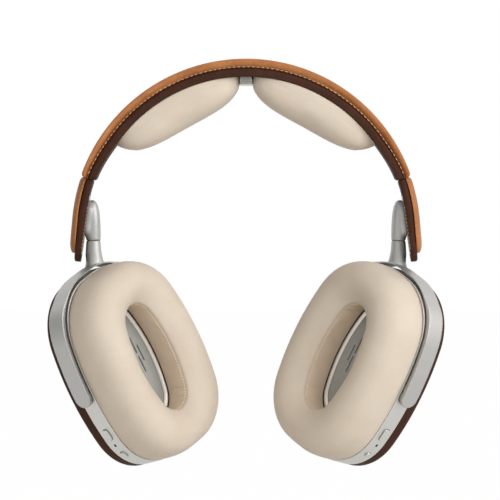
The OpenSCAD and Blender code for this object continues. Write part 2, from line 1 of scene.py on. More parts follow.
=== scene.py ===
# %% [markdown]
# # Dressing a pair of over-ear headphones
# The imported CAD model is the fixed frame: it says where every piece sits and how it moves.
# This lesson gives each visible piece its finish: leather, foam cushions, thread and blasted
# aluminium. Lengths are written in millimetres and turned into metres where a mesh is made.

# %% Load the frame
import json
import math

import bmesh
import bpy
import numpy as np
from mathutils import Matrix, Vector


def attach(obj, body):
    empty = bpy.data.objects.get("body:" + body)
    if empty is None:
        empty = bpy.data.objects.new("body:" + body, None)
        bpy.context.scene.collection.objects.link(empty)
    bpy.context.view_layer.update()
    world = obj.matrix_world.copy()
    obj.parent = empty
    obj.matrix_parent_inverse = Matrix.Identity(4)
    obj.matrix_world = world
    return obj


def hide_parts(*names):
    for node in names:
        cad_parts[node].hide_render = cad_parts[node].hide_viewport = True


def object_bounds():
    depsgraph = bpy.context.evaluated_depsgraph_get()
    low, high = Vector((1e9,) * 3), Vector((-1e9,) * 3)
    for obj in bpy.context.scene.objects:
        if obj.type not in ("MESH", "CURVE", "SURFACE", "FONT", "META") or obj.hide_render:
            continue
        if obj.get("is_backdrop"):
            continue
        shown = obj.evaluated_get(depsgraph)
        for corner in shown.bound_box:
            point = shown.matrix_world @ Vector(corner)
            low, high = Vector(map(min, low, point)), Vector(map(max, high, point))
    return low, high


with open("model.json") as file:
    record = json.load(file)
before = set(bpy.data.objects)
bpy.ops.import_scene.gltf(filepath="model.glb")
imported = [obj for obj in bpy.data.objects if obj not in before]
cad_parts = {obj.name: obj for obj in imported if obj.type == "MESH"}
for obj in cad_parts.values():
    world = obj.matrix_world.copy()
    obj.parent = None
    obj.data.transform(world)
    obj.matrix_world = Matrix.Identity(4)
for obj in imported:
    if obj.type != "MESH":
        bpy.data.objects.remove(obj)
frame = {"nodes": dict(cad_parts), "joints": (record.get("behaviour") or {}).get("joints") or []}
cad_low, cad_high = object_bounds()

MM = 0.001
nodes = frame["nodes"]
joints = {joint["name"]: joint for joint in frame["joints"]}
scene = bpy.context.scene

# %% [markdown]
# ## The camera
# The photograph looks straight at the front of the headphones, level with the middle of the
# frame. Neither the underside of the band nor the inside of its ends shows, so it was taken
# from a few metres away with a long lens. One pixel of the 500 pixel frame covers 0.484 mm at
# the plane of the headband.

# %% Camera
PHOTO_PX = 500
MM_PER_PX = 0.484
CAMERA_BACK = 3000
SENSOR = 36
# The middle of the photograph, in millimetres from the clip.
CAMERA_X = 1.95
CAMERA_Z = -79.66
camera = bpy.data.objects.new("camera", bpy.data.cameras.new("camera"))
scene.collection.objects.link(camera)
camera.location = Vector((CAMERA_X, -CAMERA_BACK, CAMERA_Z)) * MM
camera.rotation_euler = (math.radians(90), 0, 0)
camera.data.sensor_width = SENSOR
camera.data.lens = SENSOR * CAMERA_BACK / (PHOTO_PX * MM_PER_PX)
camera.data.clip_start = 0.05
scene.camera = camera
print("lens:", round(camera.data.lens, 1), "mm")

# %% [markdown]
# ## One helper for every node tree
# Shader trees and geometry trees are built the same way: make a node, set its options, then
# give each input a plain value or a link. Colours are written as sRGB hex, as an eyedropper
# shows them, and turned to the linear values that the renderer calculates with.


# %% Colour and node helpers
def linear(hexed):
    """sRGB hex to linear RGBA."""
    parts = [int(hexed[i:i + 2], 16) / 255 for i in (1, 3, 5)]
    return [c / 12.92 if c <= 0.04045 else ((c + 0.055) / 1.055) ** 2.4 for c in parts] + [1.0]


def put(tree, kind, inputs=None, **options):
    """Adds a node, sets its options, and fills its inputs with values or links."""
    node = tree.nodes.new(kind)
    for name, value in options.items():
        setattr(node, name, value)
    for name, value in (inputs or {}).items():
        if isinstance(value, bpy.types.NodeSocket):
            tree.links.new(value, node.inputs[name])
        else:
            node.inputs[name].default_value = value
    return node


def finish_named(name):
    """A new material and its empty node tree."""
    material = bpy.data.materials.new(name)
    material.use_nodes = True
    material.node_tree.nodes.clear()
    return material, material.node_tree


def shade(tree, inputs, bump=None):
    """Ends a material in one Principled shader."""
    if bump is not None:
        inputs = {**inputs, "Normal": bump}
    shader = put(tree, "ShaderNodeBsdfPrincipled", inputs)
    put(tree, "ShaderNodeOutputMaterial", {"Surface": shader.outputs[0]})


print("mid grey in linear light:", round(linear("#808080")[0], 3))

# %% [markdown]
# ## White surroundings
# The photograph is a cut-out on white, so floor and surroundings are white to the camera and
# in reflections, while the light that falls on the object is set apart. A light path node tells
# the two kinds of rays from each other. The headphones hang from their clip, so the floor lies
# well below the cups.


# %% Surroundings
def light_path_mix(tree):
    """1 for rays from the camera, from reflections and through glass, and 0 for light."""
    path = put(tree, "ShaderNodeLightPath")
    seen = put(tree, "ShaderNodeMath", {0: path.outputs["Is Camera Ray"],
                                        1: path.outputs["Is Glossy Ray"]}, operation="MAXIMUM")
    through = put(tree, "ShaderNodeMath", {0: seen.outputs[0],
                                           1: path.outputs["Is Transmission Ray"]}, operation="MAXIMUM")
    return through.outputs[0]


WARM_WHITE = "#FFF6EA"
WORLD_LIGHT = 0.58
world = bpy.data.worlds.new("studio")
scene.world = world
world.use_nodes = True
world.node_tree.nodes.clear()
white = put(world.node_tree, "ShaderNodeBackground", {"Color": (1, 1, 1, 1), "Strength": 1.0})
dome = put(world.node_tree, "ShaderNodeBackground", {"Color": linear(WARM_WHITE), "Strength": WORLD_LIGHT})
mixed = put(world.node_tree, "ShaderNodeMixShader",
            {0: light_path_mix(world.node_tree), 1: dome.outputs[0], 2: white.outputs[0]})
put(world.node_tree, "ShaderNodeOutputWorld", {"Surface": mixed.outputs[0]})
print("soft light from all round:", WORLD_LIGHT)


# %% Floor
def card(name, corners, material):
    """A flat stage piece through four corners, in millimetres."""
    mesh = bpy.data.meshes.new(name)
    mesh.from_pydata([Vector(c) * MM for c in corners], [], [(0, 1, 2, 3)])
    piece = bpy.data.objects.new(name, mesh)
    scene.collection.objects.link(piece)
    mesh.materials.append(material)
    piece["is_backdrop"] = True
    return piece


FLOOR_DROP = 70
FLOOR_WHITE = 0.985
HALF_FLOOR = 15000
paper, tree = finish_named("studio_paper")
matte = put(tree, "ShaderNodeBsdfDiffuse", {"Color": linear("#F2F1EF")})
glow = put(tree, "ShaderNodeEmission", {"Color": (1, 1, 1, 1), "Strength": 1.0})
share = put(tree, "ShaderNodeMath", {0: light_path_mix(tree), 1: FLOOR_WHITE}, operation="MULTIPLY")
both = put(tree, "ShaderNodeMixShader", {0: share.outputs[0], 1: matte.outputs[0], 2: glow.outputs[0]})
put(tree, "ShaderNodeOutputMaterial", {"Surface": both.outputs[0]})
floor_z = cad_low.z / MM - FLOOR_DROP
square = ((-1, -1), (1, -1), (1, 1), (-1, 1))
card("floor", [(x * HALF_FLOOR, y * HALF_FLOOR, floor_z) for x, y in square], paper)
print("floor at", round(floor_z, 1), "mm")

# %% [markdown]
# ## Cards and lamps
# Flat metal would mirror the white surroundings and look like paper, so two grey cards stand
# round the object that only show in reflections: one that the camera looks through, and a
# darker one at the left. A black cloth at the left takes away some of the soft light on that
# side, as the photograph shows it. A large lamp at the right is the main light, and a second
# one towards the camera fills the shadows.


# %% Cards
def glowing(name, colour, strength):
    """A card's finish, which gives off an even light of its own."""
    material, tree = finish_named(name)
    light = put(tree, "ShaderNodeEmission", {"Color": linear(colour), "Strength": strength})
    put(tree, "ShaderNodeOutputMaterial", {"Surface": light.outputs[0]})
    return material


def upright(start, end, low, high):
    """Corners of an upright card between two places on the floor plan."""
    return [(*start, low), (*end, low), (*end, high), (*start, high)]


CLOTH_LIGHT = 0.06
front_card = card("front_card", upright((-900, -2400), (900, -2400), -700, 600),
                  glowing("studio_grey_card", "#B4B5B6", 1.0))
left_card = card("left_card", upright((-1600, -1900), (-1600, 200), -700, 1100),
                 glowing("studio_dark_card", "#8B8C8C", 1.0))
left_flag = card("left_flag", upright((-330, -330), (-330, 330), -110, 260),
                 glowing("studio_black_cloth", WARM_WHITE, CLOTH_LIGHT))
for piece in (front_card, left_card, left_flag):
    piece.visible_camera = piece.visible_shadow = piece.visible_transmission = False
for piece in (front_card, left_card):
    piece.visible_diffuse = False
left_flag.visible_glossy = False
print("cards: two for reflections, one against soft light")


# %% Lamps
def softbox(name, place, size, power):
    """A square lamp that looks at the middle of the headphones."""
    lamp = bpy.data.objects.new(name, bpy.data.lights.new(name, "AREA"))
    scene.collection.objects.link(lamp)
    lamp.data.size = size * MM
    lamp.data.energy = power
    lamp.location = Vector(place) * MM
    aim = (cad_low + cad_high) / 2 - lamp.location
    lamp.rotation_euler = aim.to_track_quat("-Z", "Y").to_euler()
    return lamp


key_light = softbox("key_light", (1200, -950, 560), 1400, 16)
fill_light = softbox("fill_light", (150, -2300, 500), 900, 13)
fill_light.visible_glossy = False
print("key light:", key_light.data.energy, "W, fill light:", fill_light.data.energy, "W")

# %% [markdown]
# ## Where the cup sits
# The cups are turned, raked and slanted, so their pieces are shaped in the cup's own frame: u
# across its short axis, v along its long axis and w out of the cushion. The short axis is the
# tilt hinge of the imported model, the cushion axis is the direction in which the flat baffle is
# thinnest, and the middle comes from the metal rim.


# %% Cup frame and outline
def points_of(node):
    """A CAD node's vertices as an array, in metres."""
    mesh = nodes[node].data
    values = np.zeros(len(mesh.vertices) * 3)
    mesh.vertices.foreach_get("co", values)
    return values.reshape(-1, 3)


axis_u = np.array(joints["tilt_right"]["axis"], float)
axis_u *= -np.sign(axis_u[1]) / np.linalg.norm(axis_u)
flat = points_of("baffle_right")
axis_w = np.linalg.svd(flat - flat.mean(0), full_matrices=False)[2][2]
axis_w *= -np.sign(axis_w[0])
axis_w -= axis_u * (axis_w @ axis_u)
axis_w /= np.linalg.norm(axis_w)
axis_v = np.cross(axis_w, axis_u)
AXES = np.array([axis_u, axis_v, axis_w])
rim = points_of("cup_shell_right") @ AXES.T
middle = (rim.min(0) + rim.max(0)) / 2
origin = np.array([middle[0], middle[1], rim[:, 2].max()]) @ AXES
CUP_A, CUP_B = ((rim.max(0) - rim.min(0)) / 2 / MM)[:2]
RIM_W = np.ptp(rim[:, 2]) / MM
# Radii of the outline's corners, long sides and ends.
CORNER_R = 28.2
SIDE_R = 126
END_R = 130


def corner_centre():
    """Centre of the corner arcs, where the side arc and the end arc both run into them."""
    k, m = SIDE_R - CUP_A, END_R - CUP_B
    rk, rm = SIDE_R - CORNER_R, END_R - CORNER_R
    d = math.hypot(k, m)
    a = (rk * rk - rm * rm + d * d) / (2 * d)
    h = math.sqrt(rk * rk - a * a)
    return -k + a * k / d + h * m / d, -a * m / d + h * k / d


CORNER = corner_centre()
SIDE_F = math.atan2(CORNER[1], CORNER[0] + SIDE_R - CUP_A)
END_F = math.atan2(CORNER[1] + END_R - CUP_B, CORNER[0])


def oval(f, grow):
    """Point of the rim outline whose outward direction is f (radians), moved out by grow mm."""
    c, s = math.cos(f), math.sin(f)
    a = math.atan2(abs(s), abs(c))
    if a < SIDE_F:
        x, y, r = CUP_A - SIDE_R, 0, SIDE_R
    elif a > END_F:
        x, y, r = 0, CUP_B - END_R, END_R
    else:
        x, y, r = *CORNER, CORNER_R
    return math.copysign(x + (r + grow) * math.cos(a), c), math.copysign(y + (r + grow) * math.sin(a), s)


def in_cup(u, v, w):
    """Cup millimetres to the shared frame in metres, for the right cup."""
    return Vector(origin + (np.array([u, v, w]) * MM) @ AXES)


print("cup", round(CUP_A, 2), "x", round(CUP_B, 2), "mm half axes, rim", round(RIM_W, 2), "mm deep")

# %% [markdown]
# ## Mesh helpers
# Most pieces are rings of points joined by quads: a closed tube round the cup, or a strip with
# capped ends. The right side is made and the left side is its mirror image. A mirror turns
# faces inside out, so every new mesh has its normals worked out again.


# %% Mesh helpers
def mesh_piece(name, points, faces, material, sharp=None):
    """An object at the origin with outward normals and smooth shading; points keep their order."""
    mesh = bpy.data.meshes.new(name)
    mesh.from_pydata(points, [], faces)
    solid = bmesh.new()
    solid.from_mesh(mesh)
    bmesh.ops.recalc_face_normals(solid, faces=solid.faces)
    solid.to_mesh(mesh)
    solid.free()
    mesh.shade_smooth()
    if sharp:
        mesh.set_sharp_from_angle(angle=math.radians(sharp))
    piece = bpy.data.objects.new(name, mesh)
    scene.collection.objects.link(piece)
    mesh.materials.append(material)
    return piece


def ring_faces(rings, count, close_rings, close_count=True):
    """Quads between rings of points that are numbered one ring after another."""
    faces = []
    for k in range(rings if close_rings else rings - 1):
        for i in range(count if close_count else count - 1):
            a, b = k * count, (k + 1) % rings * count
            j = (i + 1) % count
            faces.append((a + i, b + i, b + j, a + j))
    return faces


def mirrored(piece, name):
    """The same piece for the left side."""
    mesh = piece.data.copy()
    mesh.transform(Matrix.Scale(-1, 4, (1, 0, 0)))
    mesh.flip_normals()
    other = bpy.data.objects.new(name, mesh)
    scene.collection.objects.link(other)
    return other


def baked(piece):
    """Applies a piece's modifiers and keeps the result as its plain mesh."""
    graph = bpy.context.evaluated_depsgraph_get()
    mesh = bpy.data.meshes.new_from_object(piece.evaluated_get(graph))
    piece.modifiers.clear()
    piece.data = mesh
    return piece


def dress(piece, body, slot, *stands_for):
    """Rides a piece on its body and hides the CAD pieces that it stands for."""
    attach(piece, body)
    if stands_for:
        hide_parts(*stands_for)
    return piece


def spline(points, count):
    """Catmull-Rom curve through points, sampled evenly between them."""
    p = np.array([points[0]] + list(points) + [points[-1]], float)
    out = []
    for k in np.linspace(0, len(points) - 1, count):
        i = min(int(k), len(points) - 2)
        t = k - i
        a, b, c, d = p[i:i + 4]
        out.append(0.5 * (2 * b + (c - a) * t + (2 * a - 5 * b + 4 * c - d) * t * t
                          + (3 * b - a - 3 * c + d) * t ** 3))
    return np.array(out)


print("helpers ready")

# %% [markdown]
# ## Leather
# Three leathers cover the headphones: aniline tan on the outside of the band, dark brown on its
# lining and on the cups, and a soft cream one on everything that touches the head. The piece
# inside the cushions is the same cream with a pinker tone, painted paler to stand in for the light
# that hardly reaches into the cup. Real grain is a net of tiny pebbles with pores, about half a
# millimetre across. A picture of leather would need every piece unwrapped, so the pattern is
# worked out from the place on the piece instead: Voronoi cells give the pebbles, and slow noise
# gives the cloudy dye that keeps a hide from looking like plastic.

# %% Leather finishes
# A fleck of dye covers about two pebbles of the grain.
FLECK_GRAINS = 2.2


def leather(name, light, dark, grain_mm, cloud_mm, rough, grain_depth, crease_mm, shine):
    """Dyed hide: cloudy colour, pebble grain and faint creases."""
    material, tree = finish_named(name)
    where = put(tree, "ShaderNodeTexCoord").outputs["Object"]
    cloud = put(tree, "ShaderNodeTexNoise", {"Vector": where, "Scale": 1 / (cloud_mm * MM), "Detail": 3.0,
                                             "Roughness": 0.55})
    fleck = put(tree, "ShaderNodeTexNoise", {"Vector": where, "Scale": 1 / (FLECK_GRAINS * grain_mm * MM),
                                             "Detail": 2.0})
    tone = put(tree, "ShaderNodeMix", {"A": cloud.outputs["Fac"], "B": fleck.outputs["Fac"], "Factor": 0.3})
    dye = put(tree, "ShaderNodeValToRGB", {"Fac": tone.outputs[0]})
    dye.color_ramp.elements[0].position = 0.3
    dye.color_ramp.elements[0].color = linear(dark)
    dye.color_ramp.elements[1].position = 0.7
    dye.color_ramp.elements[1].color = linear(light)
    pebble = put(tree, "ShaderNodeTexVoronoi", {"Vector": where, "Scale": 1 / (grain_mm * MM)},
                 feature="DISTANCE_TO_EDGE")
    dome_shape = put(tree, "ShaderNodeMapRange", {"Value": pebble.outputs["Distance"], "From Max": 0.28})
    crease = put(tree, "ShaderNodeTexNoise", {"Vector": where, "Scale": 1 / (crease_mm * MM), "Detail": 4.0,
                                              "Roughness": 0.6, "Distortion": 0.6})
    relief = put(tree, "ShaderNodeMath", {0: crease.outputs["Fac"], 1: 0.8, 2: dome_shape.outputs[0]},
                 operation="MULTIPLY_ADD")
    bump = put(tree, "ShaderNodeBump", {"Height": relief.outputs[0], "Strength": 0.35,
                                        "Distance": grain_depth * MM})
    polish = put(tree, "ShaderNodeMapRange", {"Value": fleck.outputs["Fac"], "To Min": rough - 0.07,
                                              "To Max": rough + 0.08})
    shade(tree, {"Base Color": dye.outputs[0], "Roughness": polish.outputs[0], "IOR": 1.47,
                 "Specular IOR Level": shine}, bump.outputs[0])
    return material


# The grain of the tan and brown hides is 0.7 mm, a little coarser than life so that it shows.
tan_hide = leather("aniline_tan_leather", "#B97D4F", "#9C643C", 0.7, 9, 0.5, 0.05, 5, 0.15)
brown_hide = leather("aniline_brown_leather", "#472B20", "#382118", 0.7, 8, 0.62, 0.05, 5, 0.14)
# The cream one is a smooth, soft leather whose pores barely show.
cream_hide = leather("soft_cream_leather", "#D3C9BC", "#CCC0B1", 0.55, 14, 0.58, 0.02, 7, 0.35)
# The piece inside the cushion is a pinker cream and a little duller, painted paler for the light that hardly
# reaches inside the cup.
pinker_lining_painted_paler = leather("soft_cream_lining_painted_paler", "#E9D7C3", "#E1CEB8", 0.55, 14, 0.62, 0.02, 7, 0.3)
print("leathers:", tan_hide.name, brown_hide.name, cream_hide.name, pinker_lining_painted_paler.name)

# %% [markdown]
# ## Metal and plastic
# The arms, yokes and rims are aluminium that was blasted with fine beads and then anodised.
# The blasting breaks every reflection into a soft satin glow, so the surface needs a fairly
# high roughness and a bump that is only just too fine to see. The ring round the baffle is
# polished instead, and the small hidden parts keep the plain finishes of their kinds.

# %% Metal and plastic finishes
# Size of the slightly duller and brighter areas on metal.
HAZE_MM = 12


def metal(name, colour, rough, grit_mm, depth):
    """Blasted or brushed metal: fine grit and a slightly uneven polish."""
    material, tree = finish_named(name)
    where = put(tree, "ShaderNodeTexCoord").outputs["Object"]
    grit = put(tree, "ShaderNodeTexNoise", {"Vector": where, "Scale": 1 / (grit_mm * MM), "Detail": 2.0})
    haze = put(tree, "ShaderNodeTexNoise", {"Vector": where, "Scale": 1 / (HAZE_MM * MM), "Detail": 2.0})
    polish = put(tree, "ShaderNodeMapRange", {"Value": haze.outputs["Fac"], "To Min": rough - 0.04,
                                              "To Max": rough + 0.04})
    bump = put(tree, "ShaderNodeBump", {"Height": grit.outputs["Fac"], "Strength": 0.25,
                                        "Distance": depth * MM})
    shade(tree, {"Base Color": linear(colour), "Metallic": 1.0, "Roughness": polish.outputs[0]},
          bump.outputs[0])
    return material


def plastic(name, colour, rough, grit_mm, depth):
    """Moulded plastic with a fine spark-eroded texture."""
    material, tree = finish_named(name)
    where = put(tree, "ShaderNodeTexCoord").outputs["Object"]
    grit = put(tree, "ShaderNodeTexNoise", {"Vector": where, "Scale": 1 / (grit_mm * MM), "Detail": 2.0})
    bump = put(tree, "ShaderNodeBump", {"Height": grit.outputs["Fac"], "Strength": 0.3,
                                        "Distance": depth * MM})
    polish = put(tree, "ShaderNodeMapRange", {"Value": grit.outputs["Fac"], "To Min": rough - 0.05,
                                              "To Max": rough + 0.05})
    shade(tree, {"Base Color": linear(colour), "Roughness": polish.outputs[0], "IOR": 1.5}, bump.outputs[0])
    return material


def weave(name, warp, weft, thread_mm):
    """Woven mesh: two crossed sets of threads."""
    material, tree = finish_named(name)
    where = put(tree, "ShaderNodeTexCoord").outputs["Object"]
    threads = [put(tree, "ShaderNodeTexWave", {"Vector": where, "Scale": 1 / (thread_mm * MM) / 6.283},
                   bands_direction=d) for d in ("Y", "Z")]
    over = put(tree, "ShaderNodeMath", {0: threads[0].outputs["Fac"], 1: threads[1].outputs["Fac"]},
               operation="MULTIPLY")
    dye = put(tree, "ShaderNodeMix", {"Factor": over.outputs[0], "A": linear(warp), "B": linear(weft)},
              data_type="RGBA")
    bump = put(tree, "ShaderNodeBump", {"Height": over.outputs[0], "Strength": 0.4, "Distance": 0.05 * MM})
    shade(tree, {"Base Color": dye.outputs[2], "Roughness": 0.9}, bump.outputs[0])
    return material


# Blasted and anodised aluminium has a soft satin glow. The rims and their buttons are the same metal,
# painted a little lighter for the light they catch. Its grit is drawn at 0.3 mm, coarser than life.
silver = metal("blasted_anodised_aluminium", "#BFBEBB", 0.55, 0.3, 0.015)
rim_silver_painted_lighter = metal("blasted_aluminium_painted_lighter", "#D2D0CB", 0.5, 0.3, 0.015)
# Polished aluminium shows brighter streaks, on the ring and on the foot of the clip.
bright = metal("polished_aluminium_ring", "#CFC9C0", 0.36, 0.5, 0.004)
# Rolled spring steel is darker and mirrors more sharply.
steel = metal("spring_steel", "#9A9C9F", 0.28, 0.2, 0.01)
# Moulded plastic has an even colour under a fine texture that dulls the light.
baffle_grey = plastic("grey_moulded_baffle", "#A3A6A5", 0.5, 0.5, 0.02)
clip_grey = plastic("grey_moulded_clip", "#A4A6A8", 0.45, 0.5, 0.02)
black = plastic("black_moulded_plastic", "#2B2B2C", 0.55, 0.5, 0.02)
film = plastic("pulp_diaphragm_film", "#CFC9B4", 0.6, 0.8, 0.02)
board = plastic("green_solder_resist", "#2F5A3A", 0.45, 0.6, 0.02)
nylon = plastic("natural_nylon_washer", "#D8CFA8", 0.5, 0.4, 0.02)
# The foil round the cell has a cool grey gleam.
foil = metal("cell_foil", "#8C9196", 0.3, 0.8, 0.03)
# The mesh has dull crossed threads, drawn 0.5 mm wide, coarser than life.
cloth = weave("black_acoustic_mesh", "#1B1C1E", "#303236", 0.5)
# Waxed thread glints softly, as smooth leather does, so it is made by the same function.
beige_thread = leather("waxed_beige_thread", "#D6B494", "#C6A07C", 0.4, 4, 0.6, 0.02, 2, 0.3)
tan_thread = leather("waxed_tan_thread", "#C39C78", "#AE8660", 0.4, 4, 0.6, 0.02, 2, 0.3)
cream_thread = leather("waxed_cream_thread", "#F2EADF", "#E8DCCB", 0.4, 4, 0.6, 0.02, 2, 0.3)
print("finishes made:", len(bpy.data.materials))

# %% [markdown]
# ## The leather arch
# The band is one rectangle with soft corners swept along an arc, so a small geometry tree makes
# both layers: an arc, a rounded rectangle and a sweep, with the sizes as inputs. The centre of
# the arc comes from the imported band: the circle through its top and its outermost point.

# %% Arch values from the frame
band = points_of("band_cover") / MM
band_top = band[:, 2].max()
tip = band[band[:, 0].argmax()]
ARCH_Z = (tip[0] ** 2 + tip[2] ** 2 - band_top ** 2) / (2 * (tip[2] - band_top))
BAND_R = band_top - ARCH_Z
BAND_W = np.ptp(band[:, 1])
BAND_MID = points_of("band_lining")[:, 2].max() / MM - ARCH_Z
BAND_IN = np.hypot(*(points_of("band_lining")[:, ::2] / MM - (0, ARCH_Z)).T).min()
SPLIT_A = math.atan2(tip[2] - ARCH_Z, tip[0])
# Roundings of the leather's edges. The outer one reaches further across the band than it is deep,
# by a factor that grows towards the ends.
OUTER_EDGE = 3.6
OUTER_REACH = 1.2
END_REACH = 3.4
LINING_EDGE = 1.5
SEAM_EDGE = 0.5
print("arch radius", round(BAND_R, 2), BAND_MID.round(2), BAND_IN.round(2), "centre at", round(ARCH_Z, 2))


# %% Geometry tree for the arch
def inputs_of(tree, **defaults):
    """Named inputs of a geometry tree: sizes, and a finish where no value is given."""
    tree.interface.new_socket("Geometry", in_out="INPUT", socket_type="NodeSocketGeometry")
    for name, value in defaults.items():
        kind = "NodeSocketMaterial" if value is None else "NodeSocketFloat"
        socket = tree.interface.new_socket(name.replace("_", " "), in_out="INPUT", socket_type=kind)
        if value is not None:
            socket.default_value = value
    tree.interface.new_socket("Geometry", in_out="OUTPUT", socket_type="NodeSocketGeometry")
    return put(tree, "NodeGroupInput").outputs


arch_tree = bpy.data.node_groups.new("arch_sweep", "GeometryNodeTree")
given = inputs_of(arch_tree, Radius=0.08, Thickness=0.004, Width=0.03, Outer_Edge=0.002, Inner_Edge=0.001,
                  Start=0.3, Sweep=2.5, Centre_Height=0.0, Finish=None)
line = put(arch_tree, "GeometryNodeCurveArc", {"Resolution": 420, "Radius": given["Radius"],
                                               "Start Angle": given["Start"], "Sweep Angle": given["Sweep"]})
lift = put(arch_tree, "ShaderNodeCombineXYZ", {"Z": given["Centre Height"]})
stood = put(arch_tree, "GeometryNodeTransform", {"Geometry": line.outputs["Curve"],
                                                 "Translation": lift.outputs[0],
                                                 "Rotation": (math.radians(90), 0, 0)})
section = put(arch_tree, "GeometryNodeCurvePrimitiveQuadrilateral",
              {"Width": given["Width"], "Height": given["Thickness"]})
section_at = put(arch_tree, "GeometryNodeInputPosition")
corner_at = put(arch_tree, "ShaderNodeSeparateXYZ", {0: section_at.outputs[0]})
is_outer = put(arch_tree, "ShaderNodeMath", {0: corner_at.outputs["Y"], 1: 0.0}, operation="GREATER_THAN")
corner = put(arch_tree, "ShaderNodeMix", {"Factor": is_outer.outputs[0], "A": given["Inner Edge"],
                                          "B": given["Outer Edge"]})
soft = put(arch_tree, "GeometryNodeFilletCurve", {"Curve": section.outputs[0], "Count": 7,
                                                  "Radius": corner.outputs[0]}, mode="POLY")
swept = put(arch_tree, "GeometryNodeCurveToMesh", {"Curve": stood.outputs[0],
                                                   "Profile Curve": soft.outputs[0], "Fill Caps": True})
dyed = put(arch_tree, "GeometryNodeSetMaterial", {"Geometry": swept.outputs[0], "Material": given["Finish"]})
put(arch_tree, "NodeGroupOutput", {"Geometry": dyed.outputs[0]})
print("arch tree:", len(arch_tree.nodes), "nodes")


# %% Baking a geometry tree
def grown(name, tree, values, seed_mesh=None):
    """A plain mesh made by a geometry tree with these inputs."""
    piece = bpy.data.objects.new(name, seed_mesh or bpy.data.meshes.new(name))
    scene.collection.objects.link(piece)
    modifier = piece.modifiers.new("grown", "NODES")
    modifier.node_group = tree
    for item in tree.interface.items_tree:
        if item.in_out == "INPUT" and item.name in values:
            modifier[item.identifier] = values[item.name]
    return baked(piece)


print("inputs of the arch:", [item.name for item in arch_tree.interface.items_tree if item.in_out == "INPUT"])


# %% Rounded ends and even steps
def end_inset(distance, radius):
    """How far an edge draws in at a distance from an end that is rounded with a radius."""
    left = min(1.0, max(0.0, 1 - distance / radius))
    return radius * (1 - math.sqrt(1 - left * left))


def smooth_step(x):
    """0 below 0, 1 above 1 and an even S between."""
    x = min(1.0, max(0.0, x))
    return x * x * (3 - 2 * x)


print("1 mm from an end rounded with 2 mm, an edge draws in", round(end_inset(1, 2), 2), "mm")

# %% [markdown]
# ## Tan cover and dark lining
# The two layers of the arch are sewn together along their edges. The tan one is padded, so
# towards its ends the outer rounding reaches further across the band than it is deep. The tree
# gives an even band. A second pass over its points rounds the ends, thins the band towards the
# split and moves the seam outwards.

# %% Tan cover and dark lining
# Rounding of the ends, and how far they reach into the split.
END_ROUND = 2.0
SPLIT_CLOSE = 0.45
# Shift of the seam at the top and at the split, and of the lining's inner side at the split.
SEAM_OUT = 0.5
SPLIT_SEAM_OUT = 1.3
SPLIT_IN = 1.1
# Angles over which the band gets thinner and its crown grows.
TAPER = math.radians(17)
CROWN_FROM = math.radians(78)
CROWN_OVER = math.radians(50)
EDGE_SLACK = 0.02
LEATHER_SHARP = 50


def arch(name, seam_r, free_r, finish):
    """One leather layer of the band between the seam and its free side, with rounded ends.

    The tan layer is crowned: towards its ends, the outer rounding reaches further across than it
    is deep. Towards the split the band gets thinner."""
    start = SPLIT_A - SPLIT_CLOSE / seam_r
    is_tan = free_r > seam_r
    outer, inner = (OUTER_EDGE, SEAM_EDGE) if is_tan else (SEAM_EDGE, LINING_EDGE)
    thick = abs(free_r - seam_r)
    piece = grown(name, arch_tree, {
        "Radius": (seam_r + free_r) / 2 * MM, "Thickness": thick * MM, "Width": float(BAND_W) * MM,
        "Outer Edge": outer * MM, "Inner Edge": inner * MM, "Start": start, "Sweep": math.pi - 2 * start,
        "Centre Height": float(ARCH_Z) * MM, "Finish": finish})
    for v in piece.data.vertices:
        x, z = v.co.x / MM, v.co.z / MM - ARCH_Z
        r, a = math.hypot(x, z), math.atan2(z, abs(x))
        near_split = smooth_step(1 - (a - start) / TAPER)
        seam = seam_r + SEAM_OUT + (SPLIT_SEAM_OUT - SEAM_OUT) * near_split
        free = free_r if is_tan else free_r + SPLIT_IN * near_split
        inset = end_inset((a - start) * seam_r, END_ROUND)
        share_out = (r - seam_r) / (free_r - seam_r)
        y = v.co.y / MM
        if is_tan and share_out > 1 - OUTER_EDGE / thick - EDGE_SLACK:
            reach = OUTER_REACH + (END_REACH - OUTER_REACH) * smooth_step((CROWN_FROM - a) / CROWN_OVER)
            y = math.copysign(BAND_W / 2 - reach * (BAND_W / 2 - abs(y)), y)
        r = seam + share_out * (free - seam) * (1 - inset / thick)
        v.co = Vector((math.copysign(r * math.cos(a), x), y * (1 - 2 * inset / BAND_W),
                       ARCH_Z + r * math.sin(a))) * MM
    piece.data.shade_smooth()
    piece.data.set_sharp_from_angle(angle=math.radians(LEATHER_SHARP))
    return piece


tan_band = arch("band_tan_leather", float(BAND_MID), float(BAND_R), tan_hide)
dress(tan_band, "headband", "tan_leather", "band_cover")
dark_band = arch("band_dark_leather", float(BAND_MID), float(BAND_IN), brown_hide)
dress(dark_band, "headband", "dark_leather", "band_lining")
for piece in (tan_band, dark_band):
    print(piece.name, [round(x, 1) for x in piece.dimensions / MM], "mm")

# %% [markdown]
# ## Smoothed copies of CAD pieces
# Some CAD pieces have the right shape already and only need the soft edges and smooth shading
# of a finished part. A copy of the mesh is merged, its flat triangles are joined, and its sharp
# edges get a small bevel. The cast parts, elbow and fork, are remeshed finely instead and
# relaxed, which blends stem, flare and fork into one flowing skin.

# %% Copies of CAD nodes
# Points closer than this become one, and faces flatter than this are joined.
MERGE_MM = 0.002
FLAT = math.radians(0.5)
EASE_SHARP = 40


def merged_copy(node, name):
    """A new object with the node's own shape, merged into one skin."""
    mesh = nodes[node].data.copy()
    solid = bmesh.new()
    solid.from_mesh(mesh)
    bmesh.ops.remove_doubles(solid, verts=solid.verts, dist=MERGE_MM * MM)
    bmesh.ops.dissolve_limit(solid, angle_limit=FLAT, verts=solid.verts, edges=solid.edges)
    solid.to_mesh(mesh)
    solid.free()
    mesh.materials.clear()
    piece = bpy.data.objects.new(name, mesh)
    scene.collection.objects.link(piece)
    return piece


